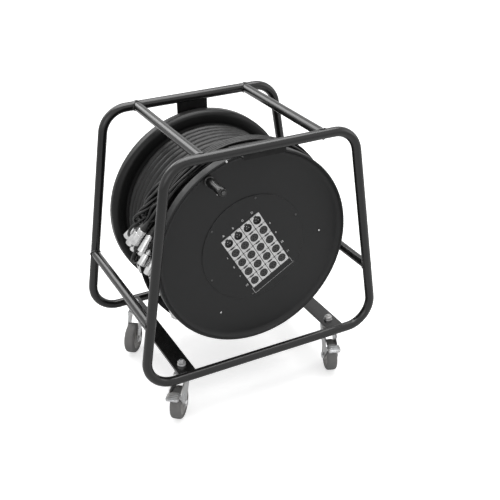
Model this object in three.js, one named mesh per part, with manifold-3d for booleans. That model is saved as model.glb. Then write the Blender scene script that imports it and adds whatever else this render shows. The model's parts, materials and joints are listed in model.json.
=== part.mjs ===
// Stage box snake: a cable drum that turns in a rolling tube frame. The drum carries a multicore
// cable, its fan-out tails and a round stage box with twenty sockets. Lengths are in millimetres,
// +Z is up, the socket face looks along -Y and the part stands on the plane z = 0.

import * as THREE from 'three';
import { mergeVertices } from 'three/addons/utils/BufferGeometryUtils.js';
import { ConvexGeometry } from 'three/addons/geometries/ConvexGeometry.js';
import Module from 'manifold-3d';

const wasm = await Module();
wasm.setup();

const degree = Math.PI / 180;
const fullTurn = 360;
const weldDistance = 0.0001;

// Clearances and cuts
const seatGap = 0.3;
const cutOverrun = 2;

// Tube frame: two rounded trapezoid loops joined by cross tubes
const tubeDiameter = 21.3;
const tubeSides = 12;
const loopSpacing = 358.8;
const loopTopWidth = 429;
const loopBottomWidth = 588.6;
const loopRise = 503.9;
const loopCornerRadius = 60;
const loopCornerSteps = 5;
const topCrossTubeInset = 76.7;
const sideCrossTubeRise = 156;
const copeTipShare = 0.4;

// Flat bars that carry the casters
const barInset = 102.3;
const barWidth = 40;
const barThickness = 6;
const barTopRise = 9.5;

// Plates and bearings that carry the drum
const plateThickness = 4;
const frontPlateWidth = 96;
const rearPlateWidth = 76;
const plateSetback = 89.4;
const plateWebDrop = 19.4;
const plateWebReach = 69.4;
const plateSlopeDrop = 46.5;
const plateBore = 60;
const drumAxisRise = 249;
const bearingDiameter = 100;
const bearingBossDiameter = 76;
const bearingBaseThickness = 7;
const bearingDepth = 17.4;
const rearBearingDepth = 13;
const bearingSegments = 20;

// Hollow axle
const axleDiameter = 48;
const axleWall = 6;
const axleCollarDiameter = 60;
const axleCollarThickness = 4.4;
const axleFrontStub = 1;
const axleRearStub = 14.6;
const axleNutDiameter = 68;
const axleNutThickness = 8;
const axleNutClearance = 2.6;
const axleSegments = 20;

// Drum sheet metal, from the back to the front
const sheetThickness = 2;
const drumSegments = 44;
const rearFlangeDiameter = 460;
const rearFlangeLipDepth = 28;
const rearFlangeCornerRadius = 12;
const barrelDiameter = 180;
const barrelLength = 182.4;
const barrelSegments = 24;
const middleFlangeDiameter = 480;
const middleFlangeBead = 5;
const middleFlangeFlatRise = 205;
const fanoutDiameter = 400;
const fanoutDepth = 30.7;
const fanoutRingWidth = 50;
const fanoutClearance = 4;

// Stage box on the front of the drum
const housingClearance = 5;
const housingSideClearance = 15.7;
const housingDepth = 28.1;
const housingSegments = 28;
const dishDiameter = 460.4;
const dishLipHeight = 9;
const dishLipWidth = 4;
const dishLipBlend = 3.4;
const dishSkirtDepth = 9.4;
const coverLap = 13;
const coverThickness = 1.6;
const coverSegments = 40;

// Sockets
const socketColumns = 4;
const femaleRows = 4;
const columnPitch = 26.5;
const rowPitch = 31.2;
const gridAngle = 30;
const gridOffsetX = 3.5;
const gridOffsetZ = -8.6;
const flangeHeight = 31;
const flangeThickness = 2;
const flangeCornerCut = 3;
const socketBodyDiameter = 23.6;
const socketBodyDepth = 22;
const socketSides = 10;
const maleCupDiameter = 17;
const maleCupDepth = 14;
const femaleMouthDiameter = 19.2;
const femaleMouthDepth = 2;

// Crank
const crankInset = 23.5;
const crankAngle = 119.7;
const crankBossDiameter = 24;
const crankBossHeight = 4;
const crankPinDiameter = 8;
const crankHeadDiameter = 15;
const crankHeadHeight = 2.6;
const gripDiameter = 21;
const gripNeckDiameter = 17;
const gripLength = 60;
const gripRounding = 5;
const gripLift = 2.6;
const crankSegments = 14;

// Multicore cable: the outer layer of turns over a plain core
const cableDiameter = 18.4;
const cableSides = 6;
const stepsPerLoop = 24;
const windingTurns = 5.5;
const windingPitch = 19.2;
const windingDiameter = 380.6;
const windingEndAngle = 200;
const leadSweep = 48;
const leadSteps = 7;
const leadRise = 29.5;
const leadEndDepth = 14.7;
const notchWidth = 60;
const notchClearance = 3;
const coreSegments = 36;
const coreFaceGap = 0.3;

// Breakout boot where the multicore splits into its tails
const bootStartDiameter = 21.4;
const bootDepth = 27.3;
const bootHeight = 33.4;
const bootEndAngle = 262;
const bootLift = 0.6;

// Fan-out tails: four of them lie free over a core of the others
const tailDiameter = 6.4;
const tailSides = 8;
const tailPitch = 6.8;
const tailLaneStart = 5.3;
const tailRadius = 230.8;
const tailStep = 18;
const tailCoreEndAngle = 500;
const tailCoreStep = 7.5;
const tailCoreMargin = 2.2;

// Plugs at the ends of the tails
const plugDiameter = 19;
const plugLength = 62;
const plugBootDiameter = 8.4;
const plugBootLength = 22;
const plugCollarDiameter = 16.4;
const plugChamfer = 2;
const plugRimWall = 1.5;
const plugRimDepth = 1.5;
const plugSides = 10;

// Casters
const casterSetback = 35.4;
const casterHeight = 111.5;
const casterTrail = 33;
const wheelDiameter = 75;
const wheelWidth = 24;
const wheelSegments = 20;
const hubDiameter = 50;
const hubBossDiameter = 25;
const hubRecess = 4;
const hubTaper = 2;
const treadShoulder = 4;
const treadDrop = 3.5;
const wheelSideGap = 0.5;
const forkLegThickness = 2.5;
const forkCrownThickness = 3.5;
const forkCrownLength = 36;
const forkCrownRim = 10;
const forkBossDiameter = 18;
const arcSegments = 4;
const casterBoltDiameter = 8;
const casterBoltHeadDiameter = 14;
const casterBoltHeadThickness = 4.5;
const stemDiameter = 10;
const stemSides = 10;
const raceDiameter = 34;
const raceThickness = 10.2;
const stemNutWidth = 18;
const stemNutThickness = 6.5;
const rivetDiameter = 17;
const rivetThickness = 3.4;

// Brake pedals on the front casters, placed from the wheel's axle
const pedalPivotReach = 26;
const pedalPivotRise = 34.5;
const pedalPinDiameter = 5;
const pedalEarDiameter = 13;
const pedalWidth = 20;
const pedalTabReach = 33;
const pedalTabRise = 8;
const pedalTabThickness = 4;
const pedalHeel = 4;
const pedalShoeReach = 4.5;
const pedalShoeDrop = 8;

// Directions in which the casters trail, seen from above, in degrees from +X
const frontLeftHeading = 230;
const frontRightHeading = 249.5;
const rearLeftHeading = 230;
const rearRightHeading = 240;

// Sizes that follow from the driving ones
const tubeRadius = tubeDiameter / 2;
const topCrossTubeSpacing = loopTopWidth - 2 * topCrossTubeInset;
const barSpacing = loopBottomWidth - 2 * barInset;
const casterBaseLength = loopSpacing - 2 * casterSetback;
const crankRadius = dishDiameter / 2 - crankInset;
const gridReach = Math.max(...socketMiddles().map((middle) => middle.length()));
const housingInside = gridReach + socketBodyDiameter / 2 + housingSideClearance;
const housingDiameter = 2 * (housingInside + sheetThickness);
const coverDiameter = 2 * (housingInside + sheetThickness + coverLap);
const tubeHeight = casterHeight - barTopRise + barThickness;
const frontLoopY = -loopSpacing / 2;
const rearLoopY = loopSpacing / 2;
const plateY = frontLoopY + plateSetback;
const plateFrontFace = plateY - plateThickness / 2;
const plateBackFace = plateY + plateThickness / 2;
const rearPlateFrontFace = rearLoopY - plateThickness / 2;
const rearPlateBackFace = rearLoopY + plateThickness / 2;
const axleRadius = axleDiameter / 2;
const fanoutFront = plateBackFace + fanoutClearance;
const fanoutBack = fanoutFront + fanoutDepth;
const middleFlangeFront = fanoutBack + seatGap;
const middleFlangeBack = middleFlangeFront + sheetThickness;
const barrelFront = middleFlangeBack + seatGap;
const barrelBack = barrelFront + barrelLength;
const rearFlangeFace = barrelBack + seatGap;
const housingBack = plateFrontFace - housingClearance;
const housingFront = housingBack - housingDepth;
const dishBackFace = housingFront - seatGap;
const dishFace = dishBackFace - sheetThickness;
const coverBack = dishFace - seatGap;
const coverFace = coverBack - coverThickness;
const flangeBack = coverFace - seatGap;
const cableRadius = cableDiameter / 2;
const windingRadius = windingDiameter / 2;
const windingRearY = rearFlangeFace - seatGap - cableRadius;
const windingFrontY = windingRearY - windingTurns * windingPitch;
const leadEndY = middleFlangeFront - leadEndDepth;
const fanoutRadius = fanoutDiameter / 2;
const tailRadiusOwn = tailDiameter / 2;
const axleHeight = (wheelDiameter / 2) * Math.cos(Math.PI / wheelSegments);
const crownTop = casterHeight - seatGap - raceThickness - seatGap;
const crownUnderside = crownTop - forkCrownThickness;

// Places on the drum, as an angle in degrees, a radius and a distance along the axis
function onDrum(angle, radius, along) {
  return new THREE.Vector3(radius * Math.cos(angle * degree), along, radius * Math.sin(angle * degree));
}

// Each free tail after its wound stretch: its lane, where it leaves the drum, the points that it
// passes over the flange's rim, and its plug from the cable end to the tip
const tailRoutes = [
  {
    lane: 3,
    leaves: 118,
    over: [onDrum(128, 236, -59), onDrum(138, 246, -57), onDrum(145, 247.5, -48), onDrum(151, 241, -38)],
    plugBack: onDrum(161.1, 221.5, -24),
    plugTip: onDrum(174, 249, 0),
  },
  {
    lane: 2,
    leaves: 124,
    over: [onDrum(134, 236, -66), onDrum(143, 246, -63.5), onDrum(150.5, 248, -54), onDrum(156, 238, -42)],
    plugBack: onDrum(165.5, 213, -30),
    plugTip: onDrum(181, 246, -22),
  },
  {
    lane: 1,
    leaves: 132,
    over: [onDrum(143, 230, -72), onDrum(152, 223.5, -68)],
    plugBack: onDrum(162.7, 215.5, -65.5),
    plugTip: onDrum(173.5, 232, -65.5),
  },
  {
    lane: 0,
    leaves: 134,
    over: [onDrum(145, 230, -81), onDrum(155, 224, -85)],
    plugBack: onDrum(166.4, 218, -86.5),
    plugTip: onDrum(177.4, 241, -86.5),
  },
];

// A route whose rings lie at its own stations, square to the bend there
class Route extends THREE.Curve {
  constructor(stations, closed = false) {
    super();
    this.stations = stations;
    this.closed = closed;
    this.legs = closed ? stations.length : stations.length - 1;
  }

  station(index) {
    const count = this.stations.length;
    return this.stations[this.closed ? (index + count) % count : index];
  }

  direction(leg) {
    const from = this.station(leg);
    return this.station(leg + 1).clone().sub(from).normalize();
  }

  getUtoTmapping(u) {
    return u;
  }

  getPoint(t, target = new THREE.Vector3()) {
    const place = t * this.legs;
    const leg = Math.min(Math.floor(place), this.legs - 1);
    return target.lerpVectors(this.station(leg), this.station(leg + 1), place - leg);
  }

  getTangent(t, target = new THREE.Vector3()) {
    const index = Math.round(t * this.legs);
    const first = this.closed ? index - 1 : Math.max(index - 1, 0);
    const second = this.closed ? index : Math.min(index, this.legs - 1);
    return target.copy(this.direction(first)).add(this.direction(second)).normalize();
  }
}

// Geometry with shared corners and no empty triangles
function weld(geometry) {
  const bare = new THREE.BufferGeometry();
  bare.setAttribute('position', geometry.attributes.position);
  bare.setIndex(geometry.index);
  const merged = mergeVertices(bare, weldDistance);
  const order = merged.index.array;
  const kept = [];
  for (let i = 0; i < order.length; i += 3) {
    const [a, b, c] = order.slice(i, i + 3);
    if (a !== b && b !== c && c !== a) {
      kept.push(a, b, c);
    }
  }
  merged.setIndex(kept);
  return merged;
}

function toSolid(geometry) {
  const welded = weld(geometry);
  const vertProperties = Float32Array.from(welded.attributes.position.array);
  const triVerts = Uint32Array.from(welded.index.array);
  return new wasm.Manifold(new wasm.Mesh({ numProp: 3, vertProperties, triVerts }));
}

function toGeometry(solid) {
  const mesh = solid.getMesh();
  const geometry = new THREE.BufferGeometry();
  geometry.setAttribute('position', new THREE.BufferAttribute(mesh.vertProperties, mesh.numProp));
  geometry.setIndex(new THREE.BufferAttribute(mesh.triVerts, 1));
  return geometry;
}

function cut(geometry, ...cutters) {
  return toGeometry(cutters.reduce((solid, cutter) => solid.subtract(toSolid(cutter)), toSolid(geometry)));
}

function join(...geometries) {
  return toGeometry(geometries.map(toSolid).reduce((whole, solid) => whole.add(solid)));
}

function overlapOf(first, second) {
  return toGeometry(toSolid(first).intersect(toSolid(second)));
}

// A solid turned about the Y axis from its outline of radius and distance along the axis
function revolve(outline, segments) {
  const points = outline.map(([radius, along]) => new THREE.Vector2(radius, along));
  if (THREE.ShapeUtils.area(points) < 0) {
    points.reverse();
  }
  points.push(points[0].clone());
  return weld(new THREE.LatheGeometry(points, segments));
}

function circlePoints(radius, sides, centreX = 0, centreZ = 0) {
  const angles = Array.from({ length: sides }, (_, i) => ((i + 1 / 2) * 2 * Math.PI) / sides);
  return angles.map((a) => new THREE.Vector2(centreX + radius * Math.cos(a), centreZ + radius * Math.sin(a)));
}

// An outline in x and z made solid along Y, its front face at -depth and its back face at 0
function extrudeForward(shape, depth) {
  const options = { depth, bevelEnabled: false, curveSegments: arcSegments };
  return new THREE.ExtrudeGeometry(shape, options).rotateX(Math.PI / 2);
}

function extrudeAcross(shape, width) {
  return extrudeForward(shape, width).translate(0, width / 2, 0);
}

function cylinderAlongY(radius, start, end, sides) {
  const length = end - start;
  return new THREE.CylinderGeometry(radius, radius, length, sides).translate(0, start + length / 2, 0);
}

function cylinderAlongZ(radius, start, end, sides) {
  const length = end - start;
  const upright = new THREE.CylinderGeometry(radius, radius, length, sides).rotateX(Math.PI / 2);
  return upright.translate(0, 0, start + length / 2);
}

function tubeAlong(stations, radius, sides) {
  const section = new THREE.Shape(circlePoints(radius, sides));
  const extrudePath = new Route(stations);
  const options = { steps: extrudePath.legs, bevelEnabled: false, extrudePath };
  return weld(new THREE.ExtrudeGeometry(section, options));
}

// The radius of a faceted bore that clears a round piece
function boreAround(radius, segments) {
  return (radius + seatGap) / Math.cos(Math.PI / segments);
}

// Stations round a corner of a bent tube
function roundedCorner(before, corner, after) {
  const arriving = corner.clone().sub(before).normalize();
  const leaving = after.clone().sub(corner).normalize();
  const turn = arriving.angleTo(leaving);
  const start = corner.clone().addScaledVector(arriving, -loopCornerRadius * Math.tan(turn / 2));
  const inward = leaving.clone().addScaledVector(arriving, -Math.cos(turn)).normalize();
  return Array.from({ length: loopCornerSteps + 1 }, (_, i) => {
    const angle = (turn * i) / loopCornerSteps;
    const place = start.clone().addScaledVector(arriving, loopCornerRadius * Math.sin(angle));
    return place.addScaledVector(inward, loopCornerRadius * (1 - Math.cos(angle)));
  });
}

function loopStations() {
  const bottom = loopBottomWidth / 2;
  const top = loopTopWidth / 2;
  const corners = [
    new THREE.Vector3(-bottom, 0, 0),
    new THREE.Vector3(bottom, 0, 0),
    new THREE.Vector3(top, 0, loopRise),
    new THREE.Vector3(-top, 0, loopRise),
  ];
  return corners.flatMap((corner, i) => {
    return roundedCorner(corners.at(i - 1), corner, corners[(i + 1) % corners.length]);
  });
}

function loopTube(radius, y) {
  const route = new Route(loopStations(), true);
  return new THREE.TubeGeometry(route, route.legs, radius, tubeSides, true).translate(0, y, 0);
}

function loopCutters() {
  return [loopTube(tubeRadius + seatGap, frontLoopY), loopTube(tubeRadius + seatGap, rearLoopY)];
}

function legHalfWidth(rise) {
  return (loopBottomWidth + ((loopTopWidth - loopBottomWidth) * rise) / loopRise) / 2;
}

function crossTube(x, z) {
  const end = rearLoopY - tubeRadius * copeTipShare;
  const tube = cylinderAlongY(tubeRadius, -end, end, tubeSides).translate(x, 0, z);
  return cut(tube, ...loopCutters());
}

function casterBar(x) {
  const bar = new THREE.BoxGeometry(barWidth, loopSpacing, barThickness);
  bar.translate(x, 0, barTopRise - barThickness / 2);
  const bore = boreAround(stemDiameter / 2, stemSides);
  const low = barTopRise - barThickness - cutOverrun;
  const bores = [-1, 1].map((side) => {
    const hole = cylinderAlongZ(bore, low, barTopRise + cutOverrun, stemSides);
    return hole.translate(x, (side * casterBaseLength) / 2, 0);
  });
  return cut(bar, ...loopCutters(), ...bores);
}

// The outline of a bent strip of sheet, from its middle line
function stripOutline(line, thickness) {
  const side = (sign) => line.map((point, i) => {
    const into = point.clone().sub(line[Math.max(i - 1, 0)]).normalize();
    const out = line[Math.min(i + 1, line.length - 1)].clone().sub(point).normalize();
    const along = into.clone().add(out).normalize();
    const stretch = 1 / Math.max(along.dot(into), along.dot(out));
    const offset = new THREE.Vector2(-along.y, along.x).multiplyScalar((sign * stretch * thickness) / 2);
    return point.clone().add(offset);
  });
  return new THREE.Shape([...side(1), ...side(-1).reverse()]);
}

// A plate hanging from the top tube, with a round end about the drum's axis
function hangingOutline(width, top) {
  const half = width / 2;
  const shape = new THREE.Shape();
  shape.moveTo(-half, top);
  shape.lineTo(-half, drumAxisRise);
  shape.absarc(0, drumAxisRise, half, Math.PI, 2 * Math.PI, false);
  shape.lineTo(half, top);
  return shape;
}

function axleBoreCutter(y) {
  const reach = plateThickness / 2 + cutOverrun;
  const hole = cylinderAlongY(plateBore / 2, -reach, reach, bearingSegments);
  return hole.translate(0, y, drumAxisRise);
}

function frontBearingPlate() {
  const webRise = loopRise - plateWebDrop;
  const webEnd = frontLoopY + plateWebReach;
  const line = [
    new THREE.Vector2(frontLoopY, loopRise - tubeRadius / 2),
    new THREE.Vector2(frontLoopY, webRise),
    new THREE.Vector2(webEnd, webRise),
    new THREE.Vector2(plateY, webRise - plateSlopeDrop),
    new THREE.Vector2(plateY, drumAxisRise - frontPlateWidth),
  ];
  const options = { depth: frontPlateWidth, bevelEnabled: false };
  const sheet = new THREE.ExtrudeGeometry(stripOutline(line, plateThickness), options);
  sheet.rotateX(Math.PI / 2).rotateZ(Math.PI / 2).translate(-frontPlateWidth / 2, 0, 0);
  const outline = extrudeForward(hangingOutline(frontPlateWidth, loopRise), loopSpacing);
  const shaped = overlapOf(sheet, outline);
  return cut(shaped, loopTube(tubeRadius + seatGap, frontLoopY), axleBoreCutter(plateY));
}

function rearBearingPlate() {
  const outline = hangingOutline(rearPlateWidth, loopRise - tubeRadius / 2);
  const plate = extrudeForward(outline, plateThickness).translate(0, rearPlateBackFace, 0);
  return cut(plate, loopTube(tubeRadius + seatGap, rearLoopY), axleBoreCutter(rearLoopY));
}

// A flanged bearing whose base lies at the first distance and whose boss points to the second
function bearing(base, tip) {
  const bore = boreAround(axleRadius, bearingSegments);
  const toward = Math.sign(tip - base);
  const baseEnd = base + toward * bearingBaseThickness;
  return revolve([
    [bore, base],
    [bearingDiameter / 2, base],
    [bearingDiameter / 2, baseEnd],
    [bearingBossDiameter / 2, baseEnd],
    [bearingBossDiameter / 2, tip],
    [bore, tip],
  ], bearingSegments);
}

// The axle turns with the drum: a collar holds the housing and a nut sits behind the rear plate
function hollowAxle() {
  const bore = axleRadius - axleWall;
  const collarBack = housingBack - sheetThickness - seatGap;
  const collarFront = collarBack - axleCollarThickness;
  const nutFront = rearPlateBackFace + axleNutClearance;
  const nutBack = nutFront + axleNutThickness;
  const front = collarFront - axleFrontStub;
  const back = rearPlateBackFace + axleRearStub;
  return revolve([
    [bore, front],
    [axleRadius, front],
    [axleRadius, collarFront],
    [axleCollarDiameter / 2, collarFront],
    [axleCollarDiameter / 2, collarBack],
    [axleRadius, collarBack],
    [axleRadius, nutFront],
    [axleNutDiameter / 2, nutFront],
    [axleNutDiameter / 2, nutBack],
    [axleRadius, nutBack],
    [axleRadius, back],
    [bore, back],
  ], axleSegments);
}

function drumBarrel() {
  const bore = boreAround(axleRadius, barrelSegments);
  const outside = barrelDiameter / 2;
  const inside = outside - sheetThickness;
  return revolve([
    [bore, barrelFront],
    [outside, barrelFront],
    [outside, barrelBack],
    [bore, barrelBack],
    [bore, barrelBack - sheetThickness],
    [inside, barrelBack - sheetThickness],
    [inside, barrelFront + sheetThickness],
    [bore, barrelFront + sheetThickness],
  ], barrelSegments);
}

// Points of a sheet's bend from a face at one distance into a lip at one radius
function bendPoints(radius, bend, face, toward) {
  const steps = 2;
  return Array.from({ length: steps + 1 }, (_, i) => {
    const angle = (Math.PI / 2) * (i / steps);
    return [radius - bend * (1 - Math.sin(angle)), face + toward * bend * (1 - Math.cos(angle))];
  });
}

function rearFlange() {
  const bore = boreAround(axleRadius, drumSegments);
  const lip = rearFlangeDiameter / 2;
  const lipEnd = rearFlangeFace + rearFlangeLipDepth;
  const innerBend = rearFlangeCornerRadius - sheetThickness;
  const outside = bendPoints(lip, rearFlangeCornerRadius, rearFlangeFace, 1);
  const inside = bendPoints(lip - sheetThickness, innerBend, rearFlangeFace + sheetThickness, 1);
  return revolve([
    [bore, rearFlangeFace],
    ...outside,
    [lip, lipEnd],
    [lip - sheetThickness, lipEnd],
    ...inside.reverse(),
    [bore, rearFlangeFace + sheetThickness],
  ], drumSegments);
}

// Where the multicore leaves the cable side for the fan-out side, the flange has a notch
function notchCutter() {
  const middle = (middleFlangeFront + middleFlangeBack) / 2;
  const stations = windingStations();
  const after = stations.findIndex((point) => point.y < middle);
  const [before, beyond] = [stations[after - 1], stations[after]];
  const crossing = before.clone().lerp(beyond, (before.y - middle) / (before.y - beyond.y));
  const floor = Math.hypot(crossing.x, crossing.z) - cableRadius - notchClearance;
  const notch = new THREE.BoxGeometry(middleFlangeDiameter, cableDiameter, notchWidth);
  notch.translate(floor + middleFlangeDiameter / 2, middle, 0);
  return notch.rotateY(-Math.atan2(crossing.z, crossing.x));
}

function middleFlange() {
  const bore = boreAround(axleRadius, drumSegments);
  const rim = middleFlangeDiameter / 2;
  const beadMiddle = (middleFlangeFront + middleFlangeBack) / 2;
  const beadRadius = middleFlangeBead / 2;
  const disc = revolve([
    [bore, middleFlangeFront],
    [rim - middleFlangeBead, middleFlangeFront],
    [rim - beadRadius, beadMiddle - beadRadius],
    [rim, beadMiddle],
    [rim - beadRadius, beadMiddle + beadRadius],
    [rim - middleFlangeBead, middleFlangeBack],
    [bore, middleFlangeBack],
  ], drumSegments);
  const above = rim - middleFlangeFlatRise + cutOverrun;
  const flat = new THREE.BoxGeometry(middleFlangeDiameter, cableDiameter, above);
  flat.translate(0, beadMiddle, middleFlangeFlatRise + above / 2);
  return cut(disc, flat, notchCutter());
}

function fanoutBarrel() {
  const inside = fanoutRadius - sheetThickness;
  const ring = fanoutRadius - fanoutRingWidth;
  return revolve([
    [fanoutRadius, fanoutFront],
    [fanoutRadius, fanoutBack],
    [ring, fanoutBack],
    [ring, fanoutBack - sheetThickness],
    [inside, fanoutBack - sheetThickness],
    [inside, fanoutFront],
  ], drumSegments);
}

function stageBoxHousing() {
  const bore = boreAround(axleRadius, housingSegments);
  const outside = housingDiameter / 2;
  return revolve([
    [bore, housingBack],
    [outside, housingBack],
    [outside, housingFront],
    [housingInside, housingFront],
    [housingInside, housingBack - sheetThickness],
    [bore, housingBack - sheetThickness],
  ], housingSegments);
}

// The round front panel: a flat face, a rolled lip that stands in front of it and a skirt behind
function stageBoxDish() {
  const rim = dishDiameter / 2;
  const lipFront = dishFace - dishLipHeight;
  const lipInside = rim - dishLipWidth;
  return revolve([
    [housingInside, dishBackFace],
    [rim - sheetThickness, dishBackFace],
    [rim - sheetThickness, dishBackFace + dishSkirtDepth],
    [rim, dishBackFace + dishSkirtDepth],
    [rim, lipFront + sheetThickness],
    [rim - sheetThickness / 2, lipFront],
    [lipInside, lipFront],
    [lipInside - sheetThickness / 2, lipFront + sheetThickness],
    [lipInside - dishLipBlend / 2, dishFace - dishLipBlend],
    [lipInside - dishLipBlend - sheetThickness, dishFace],
    [housingInside, dishFace],
  ], drumSegments);
}

// Middles of the sockets in the turned grid's own frame, from the top row down
function socketRise(row) {
  return (femaleRows / 2 - row) * rowPitch;
}

function socketAcross(column) {
  return (column - (socketColumns - 1) / 2) * columnPitch;
}

// Middles of all the sockets about the drum's axis
function socketMiddles() {
  const middles = [];
  for (let row = 0; row <= femaleRows; row += 1) {
    for (let column = 0; column < socketColumns; column += 1) {
      const middle = new THREE.Vector2(socketAcross(column), socketRise(row));
      middle.rotateAround(new THREE.Vector2(), gridAngle * degree);
      middles.push(middle.add(new THREE.Vector2(gridOffsetX, gridOffsetZ)));
    }
  }
  return middles;
}

function accessCover() {
  const cover = new THREE.Shape(circlePoints(coverDiameter / 2, coverSegments));
  const hole = boreAround(socketBodyDiameter / 2, socketSides);
  for (const middle of socketMiddles()) {
    cover.holes.push(new THREE.Path(circlePoints(hole, socketSides, middle.x, middle.y)));
  }
  return extrudeForward(cover, coverThickness);
}

// One strip of four socket flanges, their corners cut so that each shows
function flangeRow() {
  const top = flangeHeight / 2;
  const edges = Array.from({ length: socketColumns + 1 }, (_, i) => socketAcross(i) - columnPitch / 2);
  const upper = edges.flatMap((x, i) => [
    ...(i > 0 ? [new THREE.Vector2(x - flangeCornerCut, top)] : []),
    new THREE.Vector2(x, top - flangeCornerCut),
    ...(i < socketColumns ? [new THREE.Vector2(x + flangeCornerCut, top)] : []),
  ]);
  const lower = upper.map((point) => new THREE.Vector2(point.x, -point.y)).reverse();
  return extrudeForward(new THREE.Shape([...upper, ...lower]), flangeThickness);
}

function socketRow(mouthDiameter, mouthDepth) {
  const bodies = [];
  const mouths = [];
  for (let column = 0; column < socketColumns; column += 1) {
    const across = socketAcross(column);
    const body = cylinderAlongY(socketBodyDiameter / 2, -flangeThickness / 2, socketBodyDepth, socketSides);
    const mouthEnd = mouthDepth - flangeThickness;
    const mouth = cylinderAlongY(mouthDiameter / 2, -flangeThickness - cutOverrun, mouthEnd, socketSides);
    bodies.push(body.translate(across, 0, 0));
    mouths.push(mouth.translate(across, 0, 0));
  }
  return cut(join(flangeRow(), ...bodies), ...mouths);
}

function crankBoss() {
  const bore = boreAround(crankPinDiameter / 2, crankSegments);
  return revolve([
    [bore, 0],
    [crankBossDiameter / 2, 0],
    [crankBossDiameter / 2, -crankBossHeight],
    [bore, -crankBossHeight],
  ], crankSegments);
}

function crankPin() {
  const radius = crankPinDiameter / 2;
  const gripEnd = -crankBossHeight - gripLift - gripLength;
  const headFoot = gripEnd - seatGap;
  return revolve([
    [0, -seatGap],
    [radius, -seatGap],
    [radius, headFoot],
    [crankHeadDiameter / 2, headFoot],
    [crankHeadDiameter / 2, headFoot - crankHeadHeight],
    [0, headFoot - crankHeadHeight],
  ], crankSegments);
}

function crankGrip() {
  const bore = boreAround(crankPinDiameter / 2, crankSegments);
  const near = -crankBossHeight - gripLift;
  const far = near - gripLength;
  return revolve([
    [bore, near],
    [gripNeckDiameter / 2, near],
    [gripDiameter / 2, near - gripRounding],
    [gripDiameter / 2, far + gripRounding],
    [gripNeckDiameter / 2, far],
    [bore, far],
  ], crankSegments);
}

// The inner layers of the multicore, under the turns that show
function cableCore() {
  const inside = boreAround(barrelDiameter / 2, coreSegments);
  const outside = windingRadius * Math.cos(Math.PI / stepsPerLoop) - cableRadius - seatGap;
  return revolve([
    [inside, barrelFront + coreFaceGap],
    [outside, barrelFront + coreFaceGap],
    [outside, barrelBack - coreFaceGap],
    [inside, barrelBack - coreFaceGap],
  ], coreSegments);
}

// Stations with a straight run of one diameter added at the end
function straightEnd(stations, diameter) {
  const last = stations.at(-1);
  const along = last.clone().sub(stations.at(-2)).normalize();
  return [...stations, last.clone().addScaledVector(along, diameter)];
}

function windingStations() {
  const steps = Math.round(windingTurns * stepsPerLoop);
  const startAngle = windingEndAngle - windingTurns * fullTurn;
  const turns = Array.from({ length: steps + 1 }, (_, i) => {
    const share = i / steps;
    const angle = startAngle + share * windingTurns * fullTurn;
    return onDrum(angle, windingRadius, windingRearY - share * windingTurns * windingPitch);
  });
  const lead = Array.from({ length: leadSteps }, (_, i) => {
    const share = (i + 1) / leadSteps;
    const eased = share * share * (3 - 2 * share);
    const radius = windingRadius + eased * leadRise;
    const y = windingFrontY + eased * (leadEndY - windingFrontY);
    return onDrum(windingEndAngle + share * leadSweep, radius, y);
  });
  const backward = straightEnd([...turns].reverse(), cableDiameter).reverse();
  return straightEnd([...backward, ...lead], cableDiameter);
}

// The boot swells from the cable's round end to a block, its end face square to the tails
function breakoutBoot() {
  const stations = windingStations();
  const end = stations.at(-1);
  const along = end.clone().sub(stations.at(-2)).normalize();
  const start = end.clone().addScaledVector(along, seatGap);
  const outward = new THREE.Vector3().crossVectors(along, new THREE.Vector3(0, 1, 0)).normalize();
  const across = new THREE.Vector3().crossVectors(outward, along);
  const round = circlePoints(bootStartDiameter / 2, tubeSides).map((point) => {
    return start.clone().addScaledVector(outward, point.x).addScaledVector(across, point.y);
  });
  const inner = fanoutRadius + bootLift;
  const block = [inner, inner + bootHeight].flatMap((radius) => [
    onDrum(bootEndAngle, radius, fanoutBack - tailLaneStart + tailRadiusOwn - bootDepth),
    onDrum(bootEndAngle, radius, fanoutBack - tailLaneStart + tailRadiusOwn),
  ]);
  return new ConvexGeometry([...round, ...block]);
}

function tailCoreRing(radius, from, to) {
  const steps = Math.round((to - from) / tailCoreStep);
  return Array.from({ length: steps + 1 }, (_, i) => {
    const angle = (from + ((to - from) * i) / steps) * degree;
    return new THREE.Vector2(radius * Math.cos(angle), radius * Math.sin(angle));
  });
}

// The tails that lie under the free ones, as one block round the fan-out barrel
function tailCore() {
  const from = bootEndAngle + seatGap;
  const inside = (fanoutRadius + seatGap) / Math.cos((tailCoreStep * degree) / 2);
  const outside = tailRadius * Math.cos(Math.PI / stepsPerLoop) - tailRadiusOwn - seatGap;
  const inner = tailCoreRing(inside, from, tailCoreEndAngle);
  const outer = tailCoreRing(outside, from, tailCoreEndAngle);
  const depth = fanoutDepth - 2 * tailCoreMargin;
  const block = extrudeForward(new THREE.Shape([...outer, ...inner.reverse()]), depth);
  return block.translate(0, fanoutBack - tailCoreMargin, 0);
}

function laneY(lane) {
  return fanoutBack - tailLaneStart - (socketColumns - 1 - lane) * tailPitch;
}

function plugAxis(route) {
  return route.plugTip.clone().sub(route.plugBack).normalize();
}

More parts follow.
